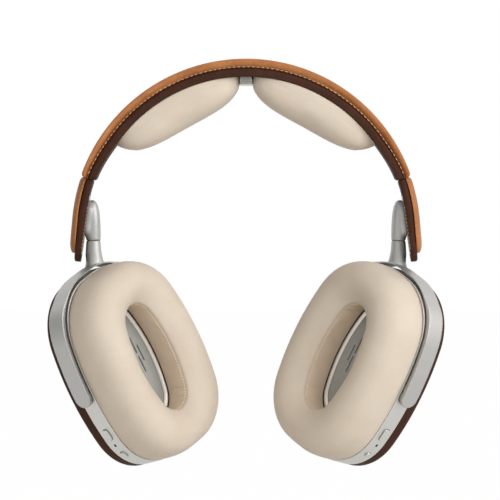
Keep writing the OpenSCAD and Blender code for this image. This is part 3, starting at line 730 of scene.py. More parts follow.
def soften(piece, bevel_mm, sharp):
    """Eases the sharp edges of a piece and shades the rest smooth."""
    bevel = piece.modifiers.new("eased", "BEVEL")
    bevel.width = bevel_mm * MM
    bevel.segments = 3
    bevel.limit_method = "ANGLE"
    bevel.angle_limit = math.radians(sharp)
    baked(piece)
    piece.data.shade_smooth()
    piece.data.set_sharp_from_angle(angle=math.radians(sharp))


def eased(node, name, material, bevel_mm, sharp=EASE_SHARP):
    """A copy with its sharp edges eased."""
    piece = merged_copy(node, name)
    soften(piece, bevel_mm, sharp)
    piece.data.materials.append(material)
    return piece


def cast(node, name, material, voxel_mm, passes, loss_mm):
    """A copy with one flowing skin, as a cast and polished part has."""
    piece = merged_copy(node, name)
    remesh = piece.modifiers.new("skin", "REMESH")
    remesh.mode = "VOXEL"
    remesh.voxel_size = voxel_mm * MM
    relax = piece.modifiers.new("relax", "SMOOTH")
    relax.factor = 0.5
    relax.iterations = passes
    swell = piece.modifiers.new("keep_size", "DISPLACE")
    swell.strength = loss_mm * MM
    swell.mid_level = 0
    baked(piece)
    piece.data.shade_smooth()
    piece.data.materials.append(material)
    return piece


print("edges sharper than", EASE_SHARP, "degrees get a bevel")

# %% [markdown]
# ## Rail and elbow
# A metal rail lies in the inner face of each end piece, and an aluminium elbow slides along it
# to set the height. Both lean with the end piece. The open side of the rail is set back in line
# with the leather beside it, and the elbow is filled out on that side, so that the two stay
# close.

# %% Rail
RAIL_LEAN = math.radians(8)
RAIL_BACK = 0.6
RAIL_OUT = Vector((math.cos(RAIL_LEAN), 0, math.sin(RAIL_LEAN)))
rail_cad = points_of("slide_rail_right") / MM


def across_rail(p):
    """Distance of a point from the arch's centre, square to the rail."""
    return p[0] * math.cos(RAIL_LEAN) + (p[2] - ARCH_Z) * math.sin(RAIL_LEAN)


rail_line = min(across_rail(p) for p in rail_cad)
rail = eased("slide_rail_right", "rail_flush_right", silver, 0.1)
for v in rail.data.vertices:
    v.co += RAIL_OUT * max(0.0, rail_line + RAIL_BACK - across_rail(v.co / MM)) * MM
dress(rail, "headband", "silver", "slide_rail_right")
dress(mirrored(rail, "rail_flush_left"), "headband", "silver", "slide_rail_left")
print("rail set back", RAIL_BACK, "mm")

# %% Elbow
# The CAD gap to the rail and what is left of it, and where the filling fades out: away from the
# wall, and down towards the swivel seam.
ELBOW_GAP = 0.3
ELBOW_NEAR = 0.1
WALL_FADE = 5
SEAM_CLEAR = 0.3
SEAM_FADE = 4
ELBOW_LOW = min(points_of("elbow_arm_right")[:, 2]) / MM
elbow = cast("elbow_arm_right", "elbow_right", silver, 0.25, 30, 0.2)
dress(elbow, "arm_right", "silver", "elbow_arm_right")
for v in elbow.data.vertices:
    near_wall = smooth_step(1 - (rail_line - across_rail(v.co / MM)) / WALL_FADE)
    above_seam = smooth_step((v.co.z / MM - ELBOW_LOW - SEAM_CLEAR) / SEAM_FADE)
    v.co += RAIL_OUT * (ELBOW_GAP + RAIL_BACK - ELBOW_NEAR) * near_wall * above_seam * MM
dress(mirrored(elbow, "elbow_left"), "arm_left", "silver", "elbow_arm_left")
print("elbow:", len(elbow.data.polygons), "faces")

# %% [markdown]
# ## The fork
# A cast fork holds each cup at its sides, and its crown bends over the rim and widens into the
# stem. The CAD shape is nearly right, so two small moves of its points do the rest: the crown
# is drawn down towards the rim, and the arms are thickened inwards, so that no dark slit shows
# beside the rim.

# %% Crown of the fork
# Heights above the rim: the underside and the top of the crown, and the end of the stem's flare.
CROWN_IN = 1.4
CROWN_OUT = 3.7
FLARE_END = 9.0
# The top comes down by this much, which fades out towards the sides.
CROWN_DOWN = 1.9
SIDE_CLEAR = 3
SIDE_FADE = 12


def cup_place(v):
    """A vertex's place in the right cup's own frame, in millimetres."""
    return (np.array(v.co) - origin) @ AXES.T / MM


def slim_crown(piece):
    """Draws the fork's crown down towards the rim, and lets the stem's flare follow."""
    rim_u, rim_v = np.array([oval(math.radians(k), 0) for k in range(180, -1, -2)]).T
    for v in piece.data.vertices:
        u, high, w = cup_place(v)
        if high < 0 or abs(u) > CUP_A:
            continue
        above = high - np.interp(u, rim_u, rim_v)
        rise = min(1.0, max(0.0, (above - CROWN_IN) / (CROWN_OUT - CROWN_IN)))
        fade = smooth_step((FLARE_END - above) / (FLARE_END - CROWN_OUT))
        side_fade = smooth_step((CUP_A - SIDE_CLEAR - abs(u)) / SIDE_FADE)
        v.co = in_cup(u, high - CROWN_DOWN * rise * fade * side_fade, w)


print("crown drawn down by up to", CROWN_DOWN, "mm")

# %% Arms of the fork
# The CAD gap to the rim and how much of it is closed, and where that fades out: up towards the
# crown, and within the thickness of the arm.
ARM_GAP = 1.2
ARM_CLOSE = 0.4
ARM_REACH = 12.0
ARM_FADE = 10
ARM_SKIN = 1.4


def close_arms(piece):
    """Thickens the fork's arms inwards, so that no dark slit shows between them and the rim."""
    whole_rim = np.array([oval(math.radians(k), 0) for k in range(0, 360, 2)])
    for v in piece.data.vertices:
        u, high, w = cup_place(v)
        near_arm = smooth_step((ARM_REACH - high) / ARM_FADE)
        gap = np.hypot(*(whole_rim - (u, high)).T).min()
        inner = smooth_step(1 - (gap - ARM_GAP) / ARM_SKIN)
        v.co -= in_cup(math.copysign(ARM_CLOSE * near_arm * inner, u), 0, 0) - in_cup(0, 0, 0)


fork = cast("yoke_right", "fork_right", silver, 0.28, 8, 0.1)
dress(fork, "fork_right", "silver", "yoke_right")
slim_crown(fork)
close_arms(fork)
dress(mirrored(fork, "fork_left"), "fork_left", "silver", "yoke_left")
print("fork:", len(fork.data.polygons), "faces")

# %% [markdown]
# ## Tan end pieces
# Below the split, the tan leather goes on as a strap of its own: it follows the arch for a
# little, then runs straight down to a rounded tongue. It is a loft of one soft section along
# that path. Its outer edge is padded and round, and the edge on the dark core stays tight, which
# one bevel on a CAD copy could not give.

# %% Path of the end pieces
STRAP_LEAN = math.radians(5)
strap_cad = points_of("end_cover_right") / MM
core_cad = points_of("end_core_right") / MM
core_arc = core_cad[core_cad[:, 2] > ARCH_Z + BAND_R * math.sin(STRAP_LEAN)]
STRAP_MID = float(np.hypot(core_arc[:, 0], core_arc[:, 2] - ARCH_Z).max())
STRAP_W = float(np.ptp(strap_cad[:, 1]))
TAIL = float((ARCH_Z + STRAP_MID * math.sin(STRAP_LEAN) - strap_cad[:, 2].min()) / math.cos(STRAP_LEAN))
STRAP_LEN = TAIL + STRAP_MID * (SPLIT_A - STRAP_LEAN) - SPLIT_CLOSE / 2
# The seam to the dark core lies further out than in the CAD.
SEAM_SHIFT = 1.2
STRAP_SEAM = STRAP_MID + SEAM_SHIFT


def on_strap(r, y, along):
    """Point of the right end piece at an arch radius, a depth and a distance from its tip."""
    turn = STRAP_LEAN + max(0.0, along - TAIL) / STRAP_MID
    drop = max(0.0, TAIL - along)
    return Vector((r * math.cos(turn) + drop * math.sin(STRAP_LEAN), y,
                   ARCH_Z + r * math.sin(turn) - drop * math.cos(STRAP_LEAN))) * MM


print("end piece:", round(STRAP_LEN, 1), "mm long, tail", round(TAIL, 1), "mm, seam at", round(STRAP_SEAM, 2))

# %% Tan leather of the end pieces
# Roundings of the tip, seen from the side and from the front.
TONGUE_R = 8
TIP_BLUNT = 0.4
TIP_LONG = 6.0
TIP_DEEP = 1.9
# The outer edge takes most of the thickness, and the edge at the seam is this many times smaller.
CROWN_SHARE = 0.93
SEAM_TIGHT = 20
# Rows of points: some close to the tip, and an even run between the ends.
TIP_ROWS = [0.4, 0.8, 1.3, 1.7]
STRAP_ROWS = 30
ROW_GAP = 1


def soft_section(r0, r1, wide, r0_edge, r1_edge, steps=9):
    """Rectangle from radius r0 to r1 with small corners at r0 and long, crowned ones at r1."""
    reach = min(END_REACH * r1_edge, wide / 2)
    out = []
    for r, y, edge, deep, a in ((r1, 1, r1_edge, reach, 0), (r0, 1, r0_edge, r0_edge, 90),
                                (r0, -1, r0_edge, r0_edge, 180), (r1, -1, r1_edge, reach, 270)):
        inward = -1 if r == r1 else 1
        for k in range(steps + 1):
            t = math.radians(a + 90 * k / steps)
            out.append((r + inward * edge + edge * math.cos(t), y * (wide / 2 - deep) + deep * math.sin(t)))
    return out


near_end = [END_ROUND * (1 - math.cos(math.radians(10 * k))) for k in range(10)]
on_tongue = [TONGUE_R * (1 - math.cos(math.radians(k))) for k in range(45, 91, 5)]
stations = sorted(near_end + on_tongue + TIP_ROWS)
stations += list(np.linspace(TONGUE_R + ROW_GAP, STRAP_LEN - END_ROUND - ROW_GAP, STRAP_ROWS))
stations += [STRAP_LEN - e for e in reversed(near_end)]
strap_points = []
for along in stations:
    inset = end_inset(STRAP_LEN - along, END_ROUND)
    tip = TIP_DEEP / TIP_LONG * end_inset(along, TIP_LONG)
    wide = STRAP_W - 2 * end_inset(along + TIP_BLUNT, TONGUE_R) - inset
    edge = (BAND_R - STRAP_SEAM - inset - tip) * CROWN_SHARE
    tight = edge / SEAM_TIGHT
    strap_points += [on_strap(r, y, along)
                     for r, y in soft_section(STRAP_SEAM, BAND_R - inset - tip, wide, tight, edge)]
count = len(strap_points) // len(stations)
strap_faces = ring_faces(len(stations), count, False)
strap_faces += [tuple(range(count)), tuple(range(len(strap_points) - count, len(strap_points)))]
strap = mesh_piece("end_tan_leather_right", strap_points, strap_faces, tan_hide, LEATHER_SHARP)
dress(strap, "headband", "tan_leather", "end_cover_right")
dress(mirrored(strap, "end_tan_leather_left"), "headband", "tan_leather", "end_cover_left")
print("tan end piece:", len(strap.data.polygons), "faces")

# %% [markdown]
# ## Dark cores
# Behind the tan leather lies a core in dark leather that carries the rail. It is the CAD piece
# with its sides moved: the outer one out to the seam, and the inner one in line with the rail
# and, above it, with the lining of the arch.

# %% Dark cores
STRAP_CORE_T = 3.6
RAIL_MARGIN = 0.1
RAIL_TOP = rail_cad[:, 2].max() - RAIL_MARGIN
core = eased("end_core_right", "end_dark_leather_right", brown_hide, 0.4)
for v in core.data.vertices:
    x, z = v.co.x / MM, v.co.z / MM - ARCH_Z
    turn = max(STRAP_LEAN, math.atan2(z, x))
    r = x * math.cos(turn) + z * math.sin(turn)
    inner = STRAP_MID - STRAP_CORE_T
    back = SPLIT_IN
    if v.co.z / MM < RAIL_TOP:
        inner = r - (across_rail(v.co / MM) - rail_line)
        back = RAIL_BACK
    share_out = min(1.0, max(0.0, (r - inner) / (STRAP_MID - inner)))
    push = SEAM_SHIFT * share_out + back * (1 - share_out)
    v.co += Vector((math.cos(turn), 0, math.sin(turn))) * push * MM
dress(core, "headband", "dark_leather", "end_core_right")
dress(mirrored(core, "end_dark_leather_left"), "headband", "dark_leather", "end_core_left")
print("core:", len(core.data.polygons), "faces")

# %% [markdown]
# ## Swivel seals
# A thin black disc closes the seam where the stem of the fork turns under the elbow, so that no
# light shows through; its black is painted shade, standing in for the shadow in the seam. Its place
# is the swivel joint of the imported model.

# %% Swivel seals
SEAL_R = 3.05
SEAL_T = 0.34
for side in ("left", "right"):
    mesh = bpy.data.meshes.new("swivel_shade_seal_" + side)
    disc = bmesh.new()
    bmesh.ops.create_cone(disc, cap_ends=True, segments=48, radius1=SEAL_R * MM, radius2=SEAL_R * MM,
                          depth=SEAL_T * MM)
    bmesh.ops.translate(disc, verts=disc.verts, vec=Vector(joints["swivel_" + side]["pos_m"])
                        - Vector((0, 0, SEAL_T / 2 * MM)))
    disc.to_mesh(mesh)
    disc.free()
    # The disc's black is painted shade: it darkens the seam as its shadow would.
    mesh.materials.append(black)
    seal = bpy.data.objects.new("swivel_shade_seal_" + side, mesh)
    scene.collection.objects.link(seal)
    dress(seal, "arm_" + side, "black_plastic")
print("seal:", SEAL_R, "mm radius")

# %% [markdown]
# ## The cup's metal rim
# The rim is a band of aluminium round the cup, with softly broken edges. Its outline is swept
# from the cup's own oval, because even quads shade more smoothly than the triangles of the CAD
# piece. The openings for the buttons, the microphone and the charging socket are cut afterwards,
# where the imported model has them.

# %% Rim ring
RIM_WALL = 2.0
RIM_EDGE = 0.5
STATIONS = 240
turns = [2 * math.pi * (i + 0.5) / STATIONS for i in range(STATIONS)]


def round_box(x0, x1, y0, y1, r, steps=5):
    """Corner-rounded rectangle as a list of points, anticlockwise."""
    out = []
    corners = ((x1 - r, y1 - r, 0), (x0 + r, y1 - r, 90), (x0 + r, y0 + r, 180), (x1 - r, y0 + r, 270))
    for cx, cy, a in corners:
        for k in range(steps + 1):
            t = math.radians(a + 90 * k / steps)
            out.append((cx + r * math.cos(t), cy + r * math.sin(t)))
    return out


def swept_ring(name, profile, material, sharp=None):
    """Sweeps a closed profile of (grow, w) points round the cup."""
    points = []
    for grow, w in profile:
        for f in turns:
            points.append(in_cup(*oval(f, grow), w))
    return mesh_piece(name, points, ring_faces(len(profile), STATIONS, True), material, sharp)


# The rim takes the copy of the aluminium that is painted lighter for the light it catches.
rim_piece = swept_ring("rim_right", round_box(-RIM_WALL, 0, -RIM_W, 0, RIM_EDGE), rim_silver_painted_lighter)
other_rim = mirrored(rim_piece, "rim_left")
print("rim:", len(rim_piece.data.polygons), "faces before the cuts")

# %% Cutting tools for the rim
BUTTON_GAP = 0.3
DRILL_FROM = -4
DRILL_TO = 2
DRILL_POINTS = 24


def button_room(node):
    """The button's shape grown by its clearance, as a cutting tool."""
    tool = merged_copy(node, "room_" + node)
    grow = tool.modifiers.new("grow", "DISPLACE")
    grow.strength = BUTTON_GAP * MM
    grow.mid_level = 0
    return baked(tool)


def drill(f, w, long_mm, high_mm):
    """A pill-shaped cutting tool through the right rim, long along the rim."""
    out = Vector((math.cos(f), math.sin(f)))
    along = Vector((-out.y, out.x))
    base = Vector(oval(f, 0))
    r = high_mm / 2
    points = []
    for depth in (DRILL_FROM, DRILL_TO):
        for k in range(DRILL_POINTS):
            t = math.radians(360 / DRILL_POINTS * (k + 0.5))
            side_way = r * math.cos(t) + math.copysign(long_mm / 2 - r, math.cos(t))
            place = base + out * depth + along * side_way
            points.append(in_cup(place.x, place.y, w + r * math.sin(t)))
    ends = [tuple(range(DRILL_POINTS)), tuple(range(DRILL_POINTS, 2 * DRILL_POINTS))]
    return mesh_piece("drill", points, ring_faces(2, DRILL_POINTS, False) + ends, silver)


def cut(piece, tools):
    """Cuts the tools out of a rim and removes them."""
    for tool in tools:
        change = piece.modifiers.new("cut", "BOOLEAN")
        change.object = tool
        change.solver = "EXACT"
        baked(piece)
        bpy.data.objects.remove(tool)
    piece.data.shade_smooth()
    piece.data.set_sharp_from_angle(angle=math.radians(35))


print("room round a button:", BUTTON_GAP, "mm")

# %% Openings and buttons
MIC_F = math.radians(-17)
MIC_W = -RIM_W / 2 - 0.4
MIC_SIZE = (1.8, 1.2)
SOCKET_F = math.radians(270)
SOCKET_SIZE = (9.2, 3.4)
for side, piece in (("right", rim_piece), ("left", other_rim)):
    holes = [drill(MIC_F, MIC_W, *MIC_SIZE)]
    if side == "left":
        holes = [mirrored(tool, "left_" + tool.name) for tool in holes]
        bpy.data.objects.remove(bpy.data.objects["drill"])
    else:
        holes.append(drill(SOCKET_F, -RIM_W / 2, *SOCKET_SIZE))
    cut(piece, holes + [button_room("button_upper_" + side), button_room("button_lower_" + side)])
    dress(piece, "cup_" + side, "silver", "cup_shell_" + side)
    for which in ("upper", "lower"):
        key = eased(f"button_{which}_{side}", f"key_{which}_{side}", rim_silver_painted_lighter, 0.25)
        dress(key, f"button_{which}_{side}", "silver", f"button_{which}_{side}")
print("rim:", len(rim_piece.data.polygons), "faces after the cuts")

# %% [markdown]
# ## The leather back of the cup
# Brown leather is drawn tight over the outside of each cup and tucked in behind the rim. It is
# a shallow tray: a flat face, a rounded shoulder and a short wall. The profile goes through a
# few points as a smooth curve, and the face closes in rings towards its middle.

# %% Leather back
BACK_T = (points_of("outer_cover_right") @ AXES.T)[:, 2].min() / MM - (origin @ AXES.T)[2] / MM
BACK_DEPTH = -BACK_T - RIM_W
SHOULDER = [(-0.5, 0.0), (-0.15, 0.06), (-0.1, 0.3), (-0.12, 0.58), (-0.7, 0.79), (-1.9, 0.92), (-3.9, 0.985),
            (-6.6, 1.0)]
back_rows = [tuple(p) for p in spline(SHOULDER, 36)]
back_points = [in_cup(*oval(f, g), -RIM_W - d * BACK_DEPTH) for g, d in back_rows for f in turns]
FACE_RINGS = 14
for k in range(1, FACE_RINGS):
    share_in = k / FACE_RINGS
    for f in turns:
        u, v = oval(f, back_rows[-1][0])
        back_points.append(in_cup(u * (1 - share_in), v * (1 - share_in), -RIM_W - BACK_DEPTH))
back_points.append(in_cup(0, 0, -RIM_W - BACK_DEPTH))
rows = len(back_rows) + FACE_RINGS - 1
back_faces = ring_faces(rows, STATIONS, False)
last = (rows - 1) * STATIONS
back_faces += [(last + i, len(back_points) - 1, last + (i + 1) % STATIONS) for i in range(STATIONS)]
back_faces.append(tuple(range(STATIONS)))
back = mesh_piece("back_leather_right", back_points, back_faces, brown_hide, 60)
dress(back, "cup_right", "dark_leather", "outer_cover_right")
dress(mirrored(back, "back_leather_left"), "cup_left", "dark_leather", "outer_cover_left")
print("back:", round(BACK_DEPTH, 2), "mm deep,", len(back.data.polygons), "faces")

# %% [markdown]
# ## Ear cushions
# A cushion is a ring of foam in soft leather: one panel rolls from the base over the top, a
# second panel lines the inner wall, and the seam between them is drawn in by its thread. The
# section goes through a few points, and a cloth simulation then blows the panels up between
# the base and the seam, which stay pinned.

# %% Opening of the cushion
HOLE_A = 16.4
HOLE_B = 30.8
HOLE_R = 14.0
HOLE_SIDE_R = (HOLE_A ** 2 + (HOLE_B - HOLE_R) ** 2 - HOLE_R ** 2) / (2 * (HOLE_A - HOLE_R))
HOLE_F = math.atan2(HOLE_B - HOLE_R, HOLE_SIDE_R - HOLE_A)


def opening(f, grow):
    """Point of the cushion's opening at its base, as oval() gives for the rim."""
    c, s = math.cos(f), math.sin(f)
    a = math.atan2(abs(s), abs(c))
    x, y, r = (HOLE_A - HOLE_SIDE_R, 0, HOLE_SIDE_R) if a < HOLE_F else (0, HOLE_B - HOLE_R, HOLE_R)
    return math.copysign(x + (r + grow) * math.cos(a), c), math.copysign(y + (r + grow) * math.sin(a), s)


print("opening:", HOLE_A, "x", HOLE_B, "mm half axes, side radius", round(HOLE_SIDE_R, 1), "mm")

# %% Ear cushion before filling
# The side stands back from the rim, and bulges along the long sides and at the top.
CUSHION_STEP = 0.35
SIDE_SWELL = 1.1
TOP_SWELL = 0.45
TOP_F = 90
TOP_SPAN = 32
CUSHION_LIFT = 0.12
CUSHION_TOP = (points_of("ear_cushion_right") @ AXES.T)[:, 2].max() / MM - (origin @ AXES.T)[2] / MM
CUSHION_T = CUSHION_TOP - CUSHION_LIFT
# The section in shares of the way to the opening and of the height: first the panel that rolls
# over the top, then the wall.
ROLL = [(0.06, 0.0), (0.02, 0.03), (0.0, 0.14), (0.0, 0.36), (0.022, 0.54), (0.08, 0.7), (0.175, 0.825),
        (0.31, 0.92), (0.475, 0.985), (0.635, 1.0), (0.795, 0.97), (0.945, 0.9), (1.06, 0.815), (1.13, 0.75),
        (1.14, 0.695)]
WALL = [(1.14, 0.695), (1.115, 0.665), (1.1, 0.55), (1.07, 0.35), (1.04, 0.15), (1.005, 0.03)]
roll_rows = spline(ROLL, 48)
wall_rows = spline(WALL, 22)
section_rows = list(roll_rows) + list(wall_rows[1:])
SEAM_ROW = len(roll_rows) - 1
CUSHION_TURNS = 200
cushion_turns = [2 * math.pi * (i + 0.5) / CUSHION_TURNS for i in range(CUSHION_TURNS)]
cushion_points = []
for x, y in section_rows:
    for f in cushion_turns:
        near_top = smooth_step(1 - abs(math.degrees(f) - TOP_F) / TOP_SPAN)
        outside = np.array(oval(f, SIDE_SWELL * math.cos(f) ** 2 + TOP_SWELL * near_top - CUSHION_STEP))
        u, v = outside + x * (np.array(opening(f, 0)) - outside)
        cushion_points.append(in_cup(u, v, CUSHION_LIFT + y * CUSHION_T))
cushion = mesh_piece("ear_cushion_leather_right", cushion_points,
                     ring_faces(len(section_rows), CUSHION_TURNS, True), cream_hide)
# The inner wall takes the lining that is painted paler for the light it does not get.
cushion.data.materials.append(pinker_lining_painted_paler)
for face in cushion.data.polygons:
    if min(face.vertices) >= SEAM_ROW * CUSHION_TURNS:
        face.material_index = 1
PINNED_ROWS = {0, 1, SEAM_ROW, len(section_rows) - 2, len(section_rows) - 1}
print("cushion:", len(cushion.data.vertices), "points, seam row", SEAM_ROW, "top", round(CUSHION_TOP, 2))


# %% Filling by cloth simulation
def fill(piece, pinned, pressure, frames, cap_mm):
    """Blows a closed skin up as cloth, holding some points, and caps how far any point moves."""
    before = np.array([v.co for v in piece.data.vertices])
    group = piece.vertex_groups.new(name="held")
    group.add([int(i) for i in pinned], 1.0, "REPLACE")
    sim = piece.modifiers.new("filling", "CLOTH")
    sim.settings.quality = 6
    sim.settings.mass = 0.002
    sim.settings.tension_stiffness = 20
    sim.settings.compression_stiffness = 20
    sim.settings.shear_stiffness = 8
    sim.settings.bending_stiffness = 0.6
    sim.settings.vertex_group_mass = "held"
    sim.settings.use_pressure = True
    sim.settings.uniform_pressure_force = pressure
    sim.settings.effector_weights.gravity = 0
    sim.collision_settings.use_collision = False
    sim.point_cache.frame_start = 1
    sim.point_cache.frame_end = frames
    for frame_number in range(1, frames + 1):
        scene.frame_set(frame_number)
    graph = bpy.context.evaluated_depsgraph_get()
    after = np.array([v.co for v in piece.evaluated_get(graph).data.vertices])
    piece.modifiers.clear()
    piece.vertex_groups.clear()
    scene.frame_set(1)
    move = after - before
    length = np.linalg.norm(move, axis=1)
    scale = np.minimum(1, cap_mm * MM / np.maximum(length, 1e-9))
    filled = before + move * scale[:, None]
    piece.data.vertices.foreach_set("co", filled.astype(np.float32).ravel())
    piece.data.update()
    print(piece.name, "moved up to", round(length.max() / MM, 2), "mm, mean", round(length.mean() / MM, 2),
          "mm, capped at", cap_mm)


FILL_CAP = 0.9
CUSHION_PRESSURE = 150.0
CUSHION_FRAMES = 16
WALL_ROW = SEAM_ROW + 5


def cushion_row(row):
    """The points of one row round the cushion."""
    return [cushion.data.vertices[row * CUSHION_TURNS + i].co.copy() for i in range(CUSHION_TURNS)]


held_points = [row * CUSHION_TURNS + i for row in PINNED_ROWS for i in range(CUSHION_TURNS)]
fill(cushion, held_points, CUSHION_PRESSURE, CUSHION_FRAMES, FILL_CAP)
seam_line = cushion_row(SEAM_ROW)
wall_line = cushion_row(WALL_ROW)
smooth = cushion.modifiers.new("soft", "SUBSURF")
smooth.levels = smooth.render_levels = 1
baked(cushion)
other_cushion = mirrored(cushion, "ear_cushion_leather_left")
for side, piece in (("right", cushion), ("left", other_cushion)):
    dress(piece, "cup_" + side, "cream_leather", "ear_cushion_" + side)

# %% [markdown]
# ## Head pads
# Two foam pads in the same cream leather hang under the arch on either side of the clip. Each
# is a long lens: flat where it is glued to the lining, deep in the middle, and drawn to a
# rounded end. It is filled the same way, held along the glued face.

# %% Head pads
pad_cad = points_of("pad_right") / MM
pad_polar = np.degrees(np.arctan2(pad_cad[:, 2] - ARCH_Z, pad_cad[:, 0]))
PAD_MID = (pad_polar.min() + pad_polar.max()) / 2
PAD_HALF = (pad_polar.max() - pad_polar.min()) / 2
PAD_T = BAND_IN - np.hypot(pad_cad[:, 0], pad_cad[:, 2] - ARCH_Z).min()
PAD_W = np.ptp(pad_cad[:, 1])
PAD_SECTION = [(0.0, 0.0), (0.6, 0.0), (0.96, 0.0), (0.995, 0.05), (1.0, 0.2), (1.0, 0.34), (0.97, 0.55),
               (0.88, 0.74), (0.7, 0.89), (0.4, 0.975), (0.0, 1.0)]
half_section = spline(PAD_SECTION, 30)
pad_section = list(half_section) + [(-x, y) for x, y in half_section[-2:0:-1]]
PAD_ROWS = 72
# The end at the clip reaches 0.75 mm further than in the CAD.
PAD_MEET = math.degrees(0.75 / BAND_IN)
# Rows lie closer together towards the ends, which stay a little blunt.
ROW_TURN = math.radians(85)
END_TURN = math.radians(85.4)
# Powers that say how depth and width fall off towards the ends.
DEEP_POWERS = (2.6, 0.45)
WIDE_POWERS = (5, 0.32)
GLUE_DEPTH = 0.06
PAD_PRESSURE = 40.0
PAD_FRAMES = 14
pad_points = []
for k in range(PAD_ROWS):
    s = math.sin(ROW_TURN * (2 * k / (PAD_ROWS - 1) - 1)) / math.sin(END_TURN)
    angle = math.radians(PAD_MID + s * PAD_HALF + PAD_MEET * smooth_step(s))
    deep = PAD_T * (1 - abs(s) ** DEEP_POWERS[0]) ** DEEP_POWERS[1]
    wide = PAD_W / 2 * (1 - abs(s) ** WIDE_POWERS[0]) ** WIDE_POWERS[1]
    for x, y in pad_section:
        r = BAND_IN - y * deep
        pad_points.append(Vector((r * math.cos(angle), x * wide, ARCH_Z + r * math.sin(angle))) * MM)
ring_count = len(pad_section)
pad_faces = ring_faces(PAD_ROWS, ring_count, False)
pad_faces += [tuple(range(ring_count)), tuple(range((PAD_ROWS - 1) * ring_count, PAD_ROWS * ring_count))]
pad = mesh_piece("head_pad_leather_right", pad_points, pad_faces, cream_hide)
glued = [v.index for v in pad.data.vertices
         if math.hypot(v.co.x / MM, v.co.z / MM - ARCH_Z) > BAND_IN - GLUE_DEPTH]
fill(pad, glued, PAD_PRESSURE, PAD_FRAMES, FILL_CAP)
smooth = pad.modifiers.new("soft", "SUBSURF")
smooth.levels = smooth.render_levels = 1
baked(pad)
other_pad = mirrored(pad, "head_pad_leather_left")
for side, piece in (("right", pad), ("left", other_pad)):
    dress(piece, "headband", "cream_leather", "pad_" + side)
print("pad:", round(float(PAD_T), 1), "mm deep over", round(2 * float(PAD_HALF), 1), "degrees")

# %% [markdown]
# ## Stitches
# Thread holds the two leathers of the band together along its edges and closes the seam inside
# each cushion. A stitch is a short, slightly fat bead of thread, so a small geometry tree walks
# along a line, drops one bead at every step and turns it along the line. The step and the
# thread are inputs, and a seeded jitter keeps the row from looking printed.

# %% Geometry tree for stitches
stitch_tree = bpy.data.node_groups.new("stitch_row", "GeometryNodeTree")
given = inputs_of(stitch_tree, Step=0.0026, Length=0.002, Thread=0.0006, Jitter=0.04, Finish=None)
walked = put(stitch_tree, "GeometryNodeResampleCurve", {
    "Curve": put(stitch_tree, "GeometryNodeMeshToCurve", {"Mesh": given["Geometry"]}).outputs[0],
    "Length": given["Step"]}, mode="LENGTH")
bead = put(stitch_tree, "GeometryNodeMeshUVSphere", {"Segments": 8, "Rings": 6, "Radius": 0.5})
along = put(stitch_tree, "FunctionNodeAlignRotationToVector", {
    "Vector": put(stitch_tree, "GeometryNodeInputTangent").outputs[0]}, axis="X")
lean_low = put(stitch_tree, "ShaderNodeMath", {0: given["Jitter"], 1: -1.0}, operation="MULTIPLY")
lean = put(stitch_tree, "FunctionNodeRandomValue",
           {"Min": lean_low.outputs[0], "Max": given["Jitter"], "Seed": 7}, data_type="FLOAT")
lean_turn = put(stitch_tree, "FunctionNodeEulerToRotation", {0: put(
    stitch_tree, "ShaderNodeCombineXYZ", {"Y": lean.outputs[1], "Z": lean.outputs[1]}).outputs[0]})
turned = put(stitch_tree, "FunctionNodeRotateRotation", {0: along.outputs[0], 1: lean_turn.outputs[0]},
             rotation_space="LOCAL")
bead_size = put(stitch_tree, "ShaderNodeCombineXYZ", {"X": given["Length"], "Y": given["Thread"],
                                                      "Z": given["Thread"]})
sewn = put(stitch_tree, "GeometryNodeInstanceOnPoints", {
    "Points": walked.outputs[0], "Instance": bead.outputs["Mesh"], "Rotation": turned.outputs[0],
    "Scale": bead_size.outputs[0]})
real = put(stitch_tree, "GeometryNodeRealizeInstances", {"Geometry": sewn.outputs[0]})
round_bead = put(stitch_tree, "GeometryNodeSetShadeSmooth", {"Geometry": real.outputs[0]})
waxed = put(stitch_tree, "GeometryNodeSetMaterial", {"Geometry": round_bead.outputs[0],
                                                     "Material": given["Finish"]})
put(stitch_tree, "NodeGroupOutput", {"Geometry": waxed.outputs[0]})
print("stitch tree:", len(stitch_tree.nodes), "nodes")


# %% Sewing along lines
def sew(name, lines, thread, step, length, thick, closed=False):
    """Stitches along lines of points, as one plain mesh."""
    points, edges = [], []
    for run in lines:
        start = len(points)
        points += [Vector(p) for p in run]
        edges += [(start + i, start + i + 1) for i in range(len(run) - 1)]
        if closed:
            edges.append((len(points) - 1, start))
    mesh = bpy.data.meshes.new(name)
    mesh.from_pydata(points, edges, [])
    return grown(name, stitch_tree, {"Step": step * MM, "Length": length * MM, "Thread": thick * MM,
                                     "Finish": thread}, mesh)


def band_seam(a):
    """Radius of the seam of the band at an arch angle."""
    near_split = smooth_step(1 - (min(a, math.pi - a) - SPLIT_A) / TAPER)
    return BAND_MID + SEAM_OUT + (SPLIT_SEAM_OUT - SEAM_OUT) * near_split


print("seam radius at the top of the band:", round(float(band_seam(math.pi / 2)), 2), "mm")

# %% Stitches of the band
STITCH_R = 0.55
STITCH_SINK = 0.05
STITCH_IN = 2.6
# Step, length and thickness of a stitch.
BAND_STITCH = (2.3, 1.6, 0.36)
BEAD_FACES = 48
end_turn = SPLIT_A + STITCH_IN / BAND_MID
arch_angles = np.linspace(end_turn, math.pi - end_turn, 260)
band_rows = []
for s in (-1, 1):
    row = []
    for a in arch_angles:
        r = band_seam(a) + STITCH_R
        row.append(Vector((r * math.cos(a), s * (BAND_W / 2 - STITCH_SINK), ARCH_Z + r * math.sin(a))) * MM)
    band_rows.append(row)
band_sewn = dress(sew("band_stitches", band_rows, beige_thread, *BAND_STITCH), "headband", "tan_leather")
print("stitches on the band:", len(band_sewn.data.polygons) // BEAD_FACES)

# %% Stitches of the end pieces
END_STITCH = (1.7, 1.1, 0.26)
